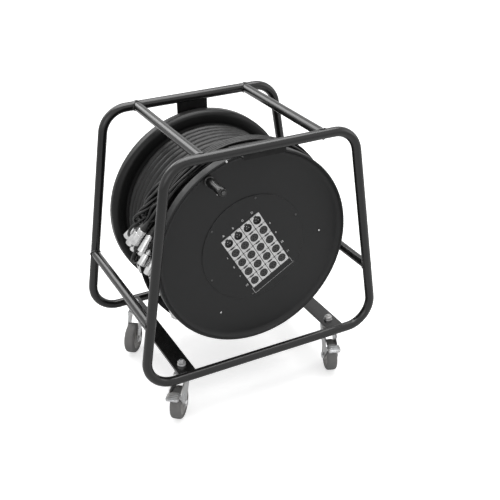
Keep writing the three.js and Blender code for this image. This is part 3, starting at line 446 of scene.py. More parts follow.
def cube(place: Matrix, size: Sequence[float]) -> Form:
    """A box of a size in metres, its middle at a place."""
    form = bmesh.new()
    bmesh.ops.create_cube(form, size=1)
    return placed(form, place @ Matrix.Diagonal((*size, 1)))


def mirrored(half: Profile) -> Profile:
    """An outline and its mirror image, from a half that ends on the mirror line."""
    return half + [(radius, -along) for radius, along in reversed(half[:-1])]


def lathe(profile: Profile, segments: int) -> Form:
    """Spins a closed outline about the Y axis.

    Args:
        profile: Points of radius and distance along the axis, in millimetres.
        segments: Steps of the spin.

    Returns:
        The closed form, in metres.
    """
    form = bmesh.new()
    points = [form.verts.new((radius * MM, along * MM, 0)) for radius, along in profile]
    ends = points[1:] + points[:1]
    edges = [form.edges.new(pair) for pair in zip(points, ends)]
    bmesh.ops.spin(form, geom=points + edges, cent=(0, 0, 0), axis=(0, 1, 0), dvec=(0, 0, 0),
                   angle=2 * math.pi, steps=segments, use_merge=True, use_duplicate=False)
    bmesh.ops.remove_doubles(form, verts=form.verts, dist=WELD)
    bmesh.ops.dissolve_degenerate(form, edges=form.edges, dist=1e-7)
    return sewn(form)


def rounded(profile: Profile, radius: float, steps: int = 3) -> Profile:
    """Rounds the corners of a closed outline.

    Args:
        profile: The outline's corners.
        radius: The rounding, limited to a third of the shorter side.
        steps: Segments of each arc.

    Returns:
        The outline with an arc at each corner off the axis.
    """
    made: Profile = []
    corners = [Vector(point) for point in profile]
    for i, corner in enumerate(corners):
        before, after = corners[i - 1] - corner, corners[(i + 1) % len(corners)] - corner
        if corner.x < 1e-9 or before.length < 1e-9 or after.length < 1e-9:
            made.append((corner.x, corner.y))
            continue
        reach = min(radius, before.length / 3, after.length / 3)
        start, end = corner + before.normalized() * reach, corner + after.normalized() * reach
        for step in range(steps + 1):
            share = step / steps
            point = start.lerp(corner, share).lerp(corner.lerp(end, share), share)
            made.append((point.x, point.y))
    return made


def spun(profile: Profile, segments: int, place: Matrix, soft: float = 0, steps: int = 3) -> Form:
    """A lathed form at its place, its corners rounded where soft is given."""
    outline = rounded(profile, soft, steps) if soft else profile
    return placed(lathe(outline, segments), place)


def bent_tube(corners: Sequence[Vector], bend: float, radius: float, closed: bool = True) -> Form:
    """A round tube that runs straight between corners and bends round them.

    Args:
        corners: The corners of its middle line, in metres.
        bend: The middle line's bend radius.
        radius: The tube's own radius.
        closed: Whether it ends where it starts.

    Returns:
        The tube.
    """
    form = bmesh.new()
    count = len(corners)
    here = start = (corners[-1] + corners[0]) / 2 if closed else corners[0]
    heading = (corners[0] - start if closed else corners[1] - start).normalized()
    bmesh.ops.create_circle(form, cap_ends=False, radius=radius, segments=TUBE_SIDES,
                            matrix=facing(heading, start) @ STAND)
    edges = list(form.edges)

    def straight_to(place: Vector) -> None:
        nonlocal edges, here
        made = bmesh.ops.extrude_edge_only(form, edges=edges)["geom"]
        edges = only(made, bmesh.types.BMEdge)
        bmesh.ops.translate(form, verts=only(made, bmesh.types.BMVert), vec=place - here)
        here = place

    for i in range(count) if closed else range(1, count - 1):
        corner = corners[i]
        before, after = corners[i - 1], corners[(i + 1) % count]
        arriving, leaving = (corner - before).normalized(), (after - corner).normalized()
        turn = arriving.angle(leaving)
        straight_to(corner - arriving * bend * math.tan(turn / 2))
        inward = (leaving - arriving * math.cos(turn)).normalized()
        made = bmesh.ops.spin(form, geom=edges, cent=here + inward * bend, dvec=(0, 0, 0),
                              axis=arriving.cross(leaving), angle=turn, steps=14, use_merge=False)
        edges = only(made["geom_last"], bmesh.types.BMEdge)
        here = corner + leaving * bend * math.tan(turn / 2)
    straight_to(start if closed else corners[-1])
    if not closed:
        bmesh.ops.holes_fill(form, edges=form.edges, sides=TUBE_SIDES)
    return sewn(form, 1e-5)


def to_mesh(name: str, form: Form) -> bpy.types.Mesh:
    """A form as a mesh. The form is freed."""
    mesh = bpy.data.meshes.new(name)
    form.to_mesh(mesh)
    form.free()
    return mesh


def shade(mesh: bpy.types.Mesh, crease: float) -> None:
    """Shades a mesh smooth, apart from edges sharper than an angle in degrees."""
    mesh.polygons.foreach_set("use_smooth", [True] * len(mesh.polygons))
    mesh.set_sharp_from_angle(angle=math.radians(crease))


def linked(name: str, data: bpy.types.ID) -> Piece:
    """A new object of the scene."""
    piece = bpy.data.objects.new(name, data)
    bpy.context.scene.collection.objects.link(piece)
    return piece


def merged(forms: Sequence[Form]) -> Form:
    """Several forms as one, each still its own shell.

    Args:
        forms: The forms, which are freed.

    Returns:
        The one form that holds them.
    """
    whole = bmesh.new()
    for form in forms:
        mesh = to_mesh("part", form)
        whole.from_mesh(mesh)
        bpy.data.meshes.remove(mesh)
    return whole


def curve_form(curve: bpy.types.Curve) -> Form:
    """The mesh of a curve, which is freed."""
    holder = bpy.data.objects.new("holder", curve)
    mesh = bpy.data.meshes.new_from_object(holder)
    form = bmesh.new()
    form.from_mesh(mesh)
    bpy.data.objects.remove(holder)
    bpy.data.meshes.remove(mesh)
    bpy.data.curves.remove(curve)
    return form


def wire(name: str, points: Sequence[Vector], radius: float, fineness: int,
         smooth: bool = False) -> bpy.types.Curve:
    """A round curve through points, in metres.

    Args:
        name: The curve's name.
        points: The points of its middle line.
        radius: The radius of its section.
        fineness: The fineness of its section.
        smooth: Whether it bends smoothly through the points.

    Returns:
        The curve.
    """
    curve = bpy.data.curves.new(name, "CURVE")
    curve.dimensions = "3D"
    curve.bevel_depth = radius
    curve.bevel_resolution = fineness
    spline = curve.splines.new("BEZIER" if smooth else "POLY")
    knots = spline.bezier_points if smooth else spline.points
    knots.add(len(points) - 1)
    for knot, place in zip(knots, points):
        knot.co = place if smooth else (*place, 1)
        if smooth:
            knot.handle_left_type = knot.handle_right_type = "AUTO"
    return curve


def make(name: str, form: Form, finish: Finish, body: str | Body, slot: Slot | None = None,
         stands_for: Iterable[str] = (), crease: float = CREASE) -> Piece:
    """Makes a form an object that rides on a body.

    Args:
        name: The piece's name.
        form: Its mesh, which is freed.
        finish: Its finish.
        body: The body that it rides on.
        slot: The record's slot for the piece. Not used.
        stands_for: The frame's nodes that it replaces.
        crease: The angle past which an edge is sharp, in degrees.

    Returns:
        The new object.
    """
    mesh = to_mesh(name, form)
    shade(mesh, crease)
    mesh.materials.append(finish.material())
    return settle(linked(name, mesh), body, stands_for)


def settle(piece: Piece, body: str | Body,
           stands_for: Iterable[str] = ()) -> Piece:
    """Lets a piece ride on its body and hides the nodes that it stands for."""
    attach(piece, body.value if isinstance(body, Body) else body)
    nodes = list(stands_for)
    if nodes:
        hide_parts(*nodes)
    log.info("%s: %d faces", piece.name, len(getattr(piece.data, "polygons", [])))
    return piece


def dress(node: str, finish: Finish, bevel: float) -> None:
    """Gives a node of the frame a finish, and rounds its edges a little.

    Args:
        node: The node's name.
        finish: Its new finish.
        bevel: Width of the rounding, in metres.
    """
    piece = frame["nodes"][node]
    piece.data.materials.clear()
    piece.data.materials.append(finish.material())
    rounding = piece.modifiers.new("edges", "BEVEL")
    rounding.width = bevel
    rounding.segments = 2
    rounding.limit_method = "ANGLE"
    rounding.angle_limit = math.radians(40)


def hex_head(across: float, thickness: float) -> Form:
    """A hexagon head or nut, its foot at the origin and its top on the -Y side, in millimetres."""
    form = bmesh.new()
    radius = across / 2 / math.cos(math.pi / 6) * MM
    bmesh.ops.create_circle(form, cap_ends=True, radius=radius, segments=6, matrix=STAND)
    made = bmesh.ops.extrude_face_region(form, geom=list(form.faces))["geom"]
    top = only(made, bmesh.types.BMVert)
    bmesh.ops.translate(form, verts=top, vec=(0, -thickness * MM, 0))
    rim = [edge for edge in form.edges if all(vert in top for vert in edge.verts)]
    soften(form, rim, 0.08 * across)
    return sewn(form)


def screw_head(diameter: float, height: float) -> Form:
    """A domed screw head with a socket, its foot at the origin and its top on the -Y side."""
    radius = diameter / 2
    dome = [(0, 0), (radius, 0), (radius, -height * 0.35), (radius * 0.8, -height * 0.8),
            (radius * 0.5, -height), (radius * 0.42, -height), (radius * 0.38, -height * 0.45),
            (0, -height * 0.4)]
    return lathe(dome, 20)


def block(low: Spot, high: Spot, corner: float, edge: float) -> Form:
    """A plate or block between two corners, in millimetres.

    Args:
        low: Its low corner.
        high: Its high corner.
        corner: Rounding of the upright edges.
        edge: Rounding of the others.

    Returns:
        The form, in metres.
    """
    start, end = Vector(low) * MM, Vector(high) * MM
    form = cube(Matrix.Translation((start + end) / 2), end - start)
    upright = [item for item in form.edges if abs(item.verts[0].co.z - item.verts[1].co.z) > WELD]
    soften(form, upright, corner, 5)
    soften(form, (item for item in form.edges if item.calc_face_angle(0) > 1), edge)
    return form


def bead(points: Sequence[Vector], radius: float) -> Form:
    """A closed weld bead along points, in metres.

    Args:
        points: The line that the bead follows.
        radius: Half its width.

    Returns:
        The bead, with the ripple of its passes.
    """
    curve = wire("bead", points, radius, 2)
    spline = curve.splines[0]
    spline.use_cyclic_u = True
    for i, point in enumerate(spline.points):
        point.radius = 1 + 0.22 * math.sin(i * 1.9) + 0.1 * math.sin(i * 0.7)
    return sewn(curve_form(curve))


@dataclass
class PhotoCamera:
    """The camera at the photograph's place.

    Attributes:
        place: Its place in the row frame.
        looks: The direction that it looks in.
        roll: Its roll, in degrees.
        lens: Focal length on a 36 mm sensor.
    """

    place: Vector = field(default_factory=lambda: Vector((-0.75691, -1.552942, 1.23998)))
    looks: Vector = field(default_factory=lambda: Vector((0.40341, 0.77939, -0.47938)))
    roll: float = -0.534
    lens: float = 60.76

    def build(self) -> None:
        """Makes the camera and hands it to the scene."""
        data = bpy.data.cameras.new("photo_camera")
        data.lens = self.lens
        data.sensor_width = 36
        camera = linked("photo_camera", data)
        right = self.looks.cross(UP).normalized()
        up = right.cross(self.looks).normalized()
        turn = math.radians(self.roll)
        across = right * math.cos(turn) + up * math.sin(turn)
        over = up * math.cos(turn) - right * math.sin(turn)
        camera.matrix_world = basis(across, over, -self.looks.normalized(), self.place)
        bpy.context.scene.camera = camera


@dataclass(frozen=True)
class TailRoute:
    """How one tail runs from its lane to its plug, in millimetres on the drum.

    Attributes:
        lane: Its lane on the fan-out side, 0 at the front.
        leaves: The angle at which it lifts off, in degrees.
        over: The points that it passes, each an angle, a radius and a distance along the axis.
        back: The plug's cable end.
        tip: A point that the plug's axis runs through.
        layer: Its layer on the fan-out side, 0 at the outside.
    """

    lane: int
    leaves: float
    over: tuple[Spot, ...]
    back: Spot
    tip: Spot
    layer: int = 0


FREE_TAILS = (
    TailRoute(3, 118, ((128, 236, -59), (138, 246, -57), (145, 247.5, -48), (151, 241, -38)),
              (161.1, 221.5, -24), (174, 249, 0)),
    TailRoute(2, 124, ((134, 236, -66), (143, 246, -63.5), (150.5, 248, -54), (156, 238, -42)),
              (165.5, 213, -30), (181, 246, -22)),
    TailRoute(1, 132, ((143, 230, -72), (152, 223.5, -68)),
              (162.7, 215.5, -65.5), (173.5, 232, -65.5)),
    TailRoute(0, 134, ((145, 230, -81), (155, 224, -85)),
              (166.4, 218, -86.5), (177.4, 241, -86.5)),
)


INNER_TAILS = (
    TailRoute(0, 110.3, ((126.1, 231.4, -92.3), (142.3, 240, -94.8)),
              (155.9, 249.5, -95.8), (168.9, 260.9, -76.4), 1),
    TailRoute(1, 132.6, ((141.8, 228.5, -87.5), (149.3, 244.6, -79.6)),
              (159.3, 244.9, -70), (172.4, 259.7, -47.8), 1),
    TailRoute(2, 136.1, ((149.3, 247.6, -63.6), (156.5, 251.8, -48.8), (162.1, 213.4, -41.4)),
              (176.4, 202.8, -34), (189.1, 227.8, -33.3), 1),
    TailRoute(3, 133.3, ((139, 232.5, -60.2), (147.3, 245.9, -52.1), (157, 234.1, -30.1)),
              (165.6, 216.8, -0.7), (178.7, 221.9, 28.6), 1),
    TailRoute(0, 112.6, ((125.9, 223.4, -89.7), (142.4, 228.6, -93.6)),
              (157.6, 229, -94.1), (169.5, 248.9, -98.9), 2),
    TailRoute(1, 146.7, ((149.7, 215.6, -79.6), (159.2, 205.3, -87.2)),
              (171.8, 208, -87.5), (184.8, 234.3, -87.7), 2),
    TailRoute(2, 147.6, ((152.3, 214.5, -74.7), (163.8, 250.1, -44.5), (168.4, 191.4, -15.6)),
              (179.2, 188, -4.4), (193.9, 209.3, -11), 2),
    TailRoute(3, 136.7, ((150.5, 242.4, -66.3), (158.7, 260.6, -52.1), (161.9, 237.6, -38.5)),
              (171, 204.5, -8.4), (183.8, 216.6, 15.7), 2),
    TailRoute(0, 112.9, ((148, 221.9, -81.5), (168.7, 212.8, -73.9)),
              (182.9, 220.9, -63.8), (198.8, 224.9, -64.1), 3),
    TailRoute(1, 136.3, ((154.9, 209.6, -78.2), (170.3, 212.6, -81)),
              (185.1, 223.3, -77.4), (200.3, 226, -92), 3),
    TailRoute(2, 143.9, ((167.6, 239.6, -64.9), (175.7, 245.2, -44.3), (179.1, 229.7, -33.6)),
              (186.6, 208.8, 3.3), (197.3, 213.7, 19.9), 3),
    TailRoute(3, 151.4, ((158.3, 246.4, -59.1), (165.5, 263.1, -48), (174.6, 220.7, -11.2)),
              (187.3, 181.7, -13.4), (198.1, 183.6, -5), 3),
    TailRoute(0, 192, ((213.8, 207.5, -69.2),),
              (225.2, 212.3, -84.7), (239.2, 219.2, -88.4), 4),
    TailRoute(1, 178, ((195.5, 205.6, -80.6),),
              (206.5, 209, -87), (218.9, 225.6, -87.9), 4),
    TailRoute(2, 181.5, ((199.6, 206.2, -64.8),),
              (209.8, 211.3, -64.7), (219.1, 225, -65.1), 4),
    TailRoute(3, 148.5, ((165, 223.4, -55.5), (178.7, 255.1, -55.2), (186.8, 237.7, -18.3)),
              (195.5, 217, 35), (206.9, 218, 64.1), 4),
)


@dataclass
class FanoutTails:
    """The twenty tails that leave the breakout boot, and their plugs.

    Attributes:
        diameter: Diameter of a tail, in millimetres.
        start: The angle at which the tails leave the boot.
        outer: Radius of the outer layer.
        pitch: Distance between lanes and between layers.
        front_lane: Place of lane 0 along the axis.
    """

    diameter: float = 6.4
    start: float = 262.3
    outer: float = 230.8
    pitch: float = 6.8
    front_lane: float = -79.0

    def centreline(self, route: TailRoute, radius: float) -> list[Vector]:
        """The points of a tail's middle line.

        Args:
            route: The tail's route.
            radius: The radius of its layer.

        Returns:
            The points from the boot to the plug, in metres.
        """
        along = self.front_lane + route.lane * self.pitch
        heading = polar(self.start + 90, 1, 0) - DRUM
        first = polar(self.start, radius, along)
        points = [first, first + heading * self.diameter]
        sweep = route.leaves + 360 - self.start
        steps = math.ceil(sweep / 15)
        points += [polar(self.start + sweep * i / steps, radius, along)
                   for i in range(1, steps + 1)]
        points += [polar(*place) for place in route.over]
        axis = self.axis(route)
        end = polar(*route.back) - axis * 0.3 * MM
        points += [end - axis * 3 * self.diameter * MM, end - axis * self.diameter * MM, end]
        return points

    @staticmethod
    def axis(route: TailRoute) -> Vector:
        """The direction of a route's plug."""
        return (polar(*route.tip) - polar(*route.back)).normalized()

    def cord(self, name: str, points: Sequence[Vector]) -> Piece:
        """A tail as a smooth curve through its points.

        Args:
            name: The piece's name.
            points: The points of its middle line.

        Returns:
            The curve object.
        """
        curve = wire(name, points, self.diameter / 2 * MM, 3, smooth=True)
        curve.resolution_u = 8
        curve.use_fill_caps = True
        curve.materials.append(TAIL_JACKET.material())
        return linked(name, curve)

    @staticmethod
    def length(points: Sequence[Vector]) -> float:
        """The length along points, in metres."""
        return sum((after - before).length for before, after in zip(points, points[1:]))

    def build(self) -> None:
        """All the tails with their plugs: the outer ones, whose solids lie free, then the inner."""
        last = len(FREE_TAILS)
        for index, route in enumerate(FREE_TAILS + INNER_TAILS, 1):
            free = index <= last
            points = self.centreline(route, self.outer - route.layer * self.pitch)
            nodes = [f"tail_{index}"] if free else ["tail_core"] if index == last + 1 else []
            piece = self.cord(f"fanout_tail_{index}", points)
            settle(piece, Body.DRUM, nodes)
            place = facing(self.axis(route), polar(*route.back))
            plug = Plug(boot_finish=GREY_BOOT if index % 5 == 1 else BOOT_RUBBER)
            parts = plug.build(f"line_plug_{index}", place, [f"plug_{index}"] if free else [])
            self.length(points)


@dataclass
class Plug:
    """A cable plug: a nickel shell with a rubber boot, in millimetres.

    Attributes:
        diameter: Diameter of the shell.
        length: Length from the cable's end to the tip.
        boot: Length of the boot.
        neck: Diameter of the boot at the cable.
        pin_circle: Distance of the pins from the middle.
        boot_finish: Finish of the boot.
    """

    diameter: float = 18.8
    length: float = 61.8
    boot: float = 22.0
    neck: float = 8.2
    pin_circle: float = 3.6
    boot_finish: Finish = BOOT_RUBBER

    def build(self, name: str, place: Matrix, stands_for: Iterable[str] = ()) -> list[Piece]:
        """Makes the plug.

        Args:
            name: The name of the shell, and the start of the others.
            place: The plug's place, its cable end at the origin and its tip on the +Y side.
            stands_for: The frame's nodes that it replaces.

        Returns:
            The plug's pieces.
        """
        radius, tip, foot = self.diameter / 2, self.length, self.boot
        shell = [(0, foot), (radius * 0.9, foot), (radius, foot + 2.4), (radius, foot + 10),
                 (radius * 0.93, foot + 10.8), (radius * 0.93, foot + 12.4), (radius, foot + 13.2),
                 (radius, tip - 1), (radius - 0.8, tip), (radius - 1.6, tip),
                 (radius - 1.6, tip - 17), (0, tip - 17)]
        floor, face = tip - 17.2, tip - 15
        insert = [(0, floor), (radius - 1.8, floor), (radius - 1.8, face), (0, face)]
        pin = rounded([(0, face), (1.2, face), (1.2, tip - 4), (0, tip - 3.2)], 0.5)
        pins = [placed(lathe(pin, 10), spot) for spot in around(self.pin_circle)]
        neck, collar = self.neck / 2, self.diameter * 0.43
        ribs = [(neck + (collar - neck) * i / 6 - (0.5 if i % 2 else 0), foot * i / 6)
                for i in range(1, 7)]
        boot = [(0, 0), (neck, 0), *ribs, (collar, foot + 0.2), (0, foot + 0.2)]
        return [
            make(name, spun(shell, 40, place, 0.5, 2), PLUG_NICKEL, Body.DRUM, Slot.PLUG_METAL,
                 stands_for),
            make(f"{name}_boot", spun(boot, 28, place, 0.5, 2), self.boot_finish, Body.DRUM),
            make(f"{name}_insert", spun(insert, 28, place), BLACK_INSERT, Body.DRUM),
            make(f"{name}_pins", placed(merged(pins), place), NICKEL, Body.DRUM),
        ]


@dataclass
class TubeFrame:
    """The welded frame: two bent loops, cross tubes, caster bars and the plates for the drum.

    Attributes:
        radius: Radius of the tubes, in metres.
        bend: Bend radius of their middle lines.
        top: Width of a loop at its top.
        bottom: Width of a loop at its bottom.
        rise: Height of the top tube over the bottom one.
        bead_radius: Half the width of a weld.
    """

    radius: float = 0.01065
    bend: float = 0.06
    top: float = 0.429
    bottom: float = 0.5886
    rise: float = 0.5039
    bead_radius: float = 0.0021

    def __post_init__(self) -> None:
        """Takes the loops' places from the frame."""
        self.loops = {name: sum(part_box(name), Vector()) / 2 for name in ("front_loop", "rear_loop")}
        self.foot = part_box("front_loop")[0].z + self.radius

    def build_loops(self) -> None:
        """Bends the two loops."""
        low, high = self.foot, self.foot + self.rise
        for name, middle in self.loops.items():
            corners = [Vector((middle.x + across, middle.y, height)) for across, height in (
                (-self.bottom / 2, low), (self.bottom / 2, low),
                (self.top / 2, high), (-self.top / 2, high))]
            make(f"{name}_tube", bent_tube(corners, self.bend, self.radius), FRAME_COAT,
                 Body.FRAME, Slot.FRAME_COAT, [name])

    def saddle(self, place: Vector, lean: Vector, side: int) -> list[Vector]:
        """The line where a cross tube meets a loop.

        Args:
            place: A point on the cross tube's middle line, at the loop.
            lean: The loop's direction there.
            side: -1 at the front loop and 1 at the rear one.

        Returns:
            The points of the line.
        """
        points = []
        steps, lift, gap = 36, 0.0004, 0.0006
        for step in range(steps):
            turn = 2 * math.pi * step / steps
            out = Vector((math.cos(turn), 0, math.sin(turn))) * (self.radius + lift)
            off = (out - lean * out.dot(lean)).length
            depth = math.sqrt(max(self.radius ** 2 - off ** 2, 0)) if off < self.radius else 0
            points.append(place + out - Vector((0, side * (depth + gap), 0)))
        return points

    def build_cross_tubes(self) -> None:
        """The tubes that join the loops, with their welds."""
        beads = []
        for node in ("top_cross_tube_left", "top_cross_tube_right", "side_cross_tube_left",
                     "side_cross_tube_right"):
            middle = sum(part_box(node), Vector()) / 2
            sign = 1 if middle.x > 0 else -1
            lean = Vector((-sign * (self.bottom - self.top) / 2, 0, self.rise)).normalized()
            if node.startswith("top"):
                lean = Vector((1, 0, 0))
            ends = [Vector((middle.x, loop.y, middle.z)) for loop in self.loops.values()]
            tube = bent_tube(ends, self.bend, self.radius, closed=False)
            make(f"{node}_tube", tube, FRAME_COAT, Body.FRAME, Slot.FRAME_COAT, [node])
            beads += [bead(self.saddle(end, lean, side), self.bead_radius)
                      for end, side in zip(ends, (-1, 1))]
        make("cross_tube_welds", merged(beads), FRAME_COAT, Body.FRAME)

    def build_plates(self) -> None:
        """Dresses the flat caster bars and the hanging plates."""
        # The bearing plates take a darker copy of the frame's coat as painted shade.
        plates = {"caster_bar_left": FRAME_COAT, "caster_bar_right": FRAME_COAT,
                  "front_bearing_plate": FRAME_COAT_IN_PAINTED_SHADE, "rear_bearing_plate": FRAME_COAT_IN_PAINTED_SHADE}
        for node, coat in plates.items():
            dress(node, coat, PLATE_EDGE)

    def build(self) -> None:
        """Makes the whole frame."""
        self.build_loops()
        self.build_cross_tubes()
        self.build_plates()


@dataclass
class DrumBearings:
    """The two bearings, the rear one's bolts and the axle, in millimetres on the drum."""

    front: float = -87.7
    front_tip: float = -70.3
    rear: float = 177.1
    rear_tip: float = 164.1
    bolt_circle: float = 43.0
    bolt_foot: float = 181.5

    def bearing(self, base: float, tip: float) -> Form:
        """A flanged bearing with a raised ring."""
        toward = 1 if tip > base else -1
        rim, groove = base + 7 * toward, tip - 1.5 * toward
        outline = [(AXLE_HOLE, base), (50, base), (50, rim), (38, rim), (37, tip - 1 * toward),
                   (33, tip), (32, groove), (27, groove), (26.5, tip), (AXLE_HOLE, tip)]
        return spun(outline, 72, ON_DRUM, 0.9)

    def bolts(self) -> Form:
        """Four hexagon bolts round the rear bearing."""
        back = -Vector((0, 1, 0))
        feet = [polar(turn, self.bolt_circle, self.bolt_foot) for turn in (45, 135, 225, 315)]
        return merged([placed(hex_head(10, 5), facing(back, foot)) for foot in feet])

    def build(self) -> None:
        """Makes the bearings, bolts and axle."""
        for side, base, tip in (("front", self.front, self.front_tip),
                                ("rear", self.rear, self.rear_tip)):
            make(f"{side}_bearing_ring", self.bearing(base, tip), ZINC, Body.FRAME, Slot.ZINC,
                 [f"{side}_bearing"])
        make("rear_plate_bolts", self.bolts(), ZINC, Body.FRAME)
        axle = [(18, -104.7), (24, -104.7), (24, -103.7), (30, -103.7), (30, -99.3), (24, -99.3),
                (24, 184), (34, 184), (34, 192), (24, 192), (24, 196), (18, 196)]
        make("axle_tube", spun(axle, 72, ON_DRUM, 0.7), ZINC, Body.DRUM, Slot.ZINC,
             ["hollow_axle"])


@dataclass
class CableDrum:
    """The drum's barrel, its two flanges and the fan-out barrel, in millimetres on the drum."""

    barrel: float = 90.0
    sheet: float = 2.0
    bead: float = 2.5
    middle: float = -52.0
    rear_face: float = 132.0
    flat_rise: float = 205.0
    notch_angle: float = 234.0
    notch_floor: float = 204.0
    notch_width: float = 60.0

    def carve(self, piece: Piece, cutter: Form) -> None:
        """Cuts a form out of a piece.

        Args:
            piece: The piece, whose mesh is changed.
            cutter: The form, which is freed.
        """
        mesh = to_mesh("cutter", cutter)
        tool = linked("cutter", mesh)
        cut = piece.modifiers.new("cut", "BOOLEAN")
        cut.operation = "DIFFERENCE"
        cut.solver = "EXACT"
        cut.object = tool
        bpy.context.view_layer.update()
        state = piece.evaluated_get(bpy.context.evaluated_depsgraph_get())
        done = bpy.data.meshes.new_from_object(state)
        piece.modifiers.remove(cut)
        piece.data = done
        bpy.data.objects.remove(tool)
        bpy.data.meshes.remove(mesh)
        shade(done, CREASE)

    def box(self, low: Spot, high: Spot, turn: float) -> Form:
        """A box between two corners on the drum, turned about its axis."""
        start, end = Vector(low), Vector(high)
        spin = Matrix.Rotation(-math.radians(turn), 4, "Y")
        middle = Matrix.Translation((start + end) / 2 * MM)
        return cube(ON_DRUM @ spin @ middle, (end - start) * MM)

    def rear_flange(self) -> Profile:
        """The dished rear flange with its rolled lip."""
        front, back = self.rear_face, self.rear_face + self.sheet
        bend, inner = ([(edge - reach * (1 - math.sin(a)), face + reach * (1 - math.cos(a)))
                        for a in (math.pi / 2 * i / 8 for i in range(9))]
                       for edge, face, reach in ((230, front, 12), (228, back, 10)))
        ring = [(196, front), (198, 133.2), (202, 133.2), (204, front)]
        return [(AXLE_HOLE, front), *ring, *bend, (230, 158.8), (229.4, 160), (228.4, 160),
                (228, 159.2), *reversed(inner), (AXLE_HOLE, back)]

    def middle_flange(self) -> Profile:
        """The flat middle flange with its bead."""
        front, back = self.middle - self.sheet / 2, self.middle + self.sheet / 2
        edge = [(237.5 + self.bead * math.sin(a), self.middle - self.bead * math.cos(a))
                for a in (math.pi * i / 10 for i in range(11))]
        return [(AXLE_HOLE, front), (234.6, front), *edge, (234.6, back), (AXLE_HOLE, back)]

    def build(self) -> None:
        """Makes the drum's sheet metal."""
        barrel = [(AXLE_HOLE, -50.7), (self.barrel, -50.7), (self.barrel, 131.7),
                  (AXLE_HOLE, 131.7)]
        make("barrel_shell", spun(barrel, 96, ON_DRUM, 1), FRAME_COAT, Body.DRUM, Slot.FRAME_COAT,
             ["drum_barrel"])
        # The rear flange, the middle flange and the fan-out barrel take the drum's coat darkened as
        # painted shade.
        make("rear_flange_sheet", spun(self.rear_flange(), 144, ON_DRUM), DRUM_COAT_IN_PAINTED_SHADE, Body.DRUM,
             Slot.DRUM_COAT, ["rear_flange"])
        disc = make("middle_flange_sheet", spun(self.middle_flange(), 144, ON_DRUM), DRUM_COAT_IN_PAINTED_SHADE,
                    Body.DRUM, Slot.DRUM_COAT, ["middle_flange"])
        half = self.notch_width / 2
        self.carve(disc, self.box((-250, -60, self.flat_rise), (250, -44, 260), 0))
        notch = self.box((self.notch_floor, -60, -half), (260, -44, half), self.notch_angle)
        self.carve(disc, notch)
        fanout = [(200, -84), (200, -53.3), (150, -53.3), (150, -55.3), (198, -55.3), (198, -84)]
        make("fanout_shell", spun(fanout, 128, ON_DRUM, 0.8), DRUM_COAT_IN_PAINTED_SHADE, Body.DRUM,
             Slot.DRUM_COAT, ["fanout_barrel"])


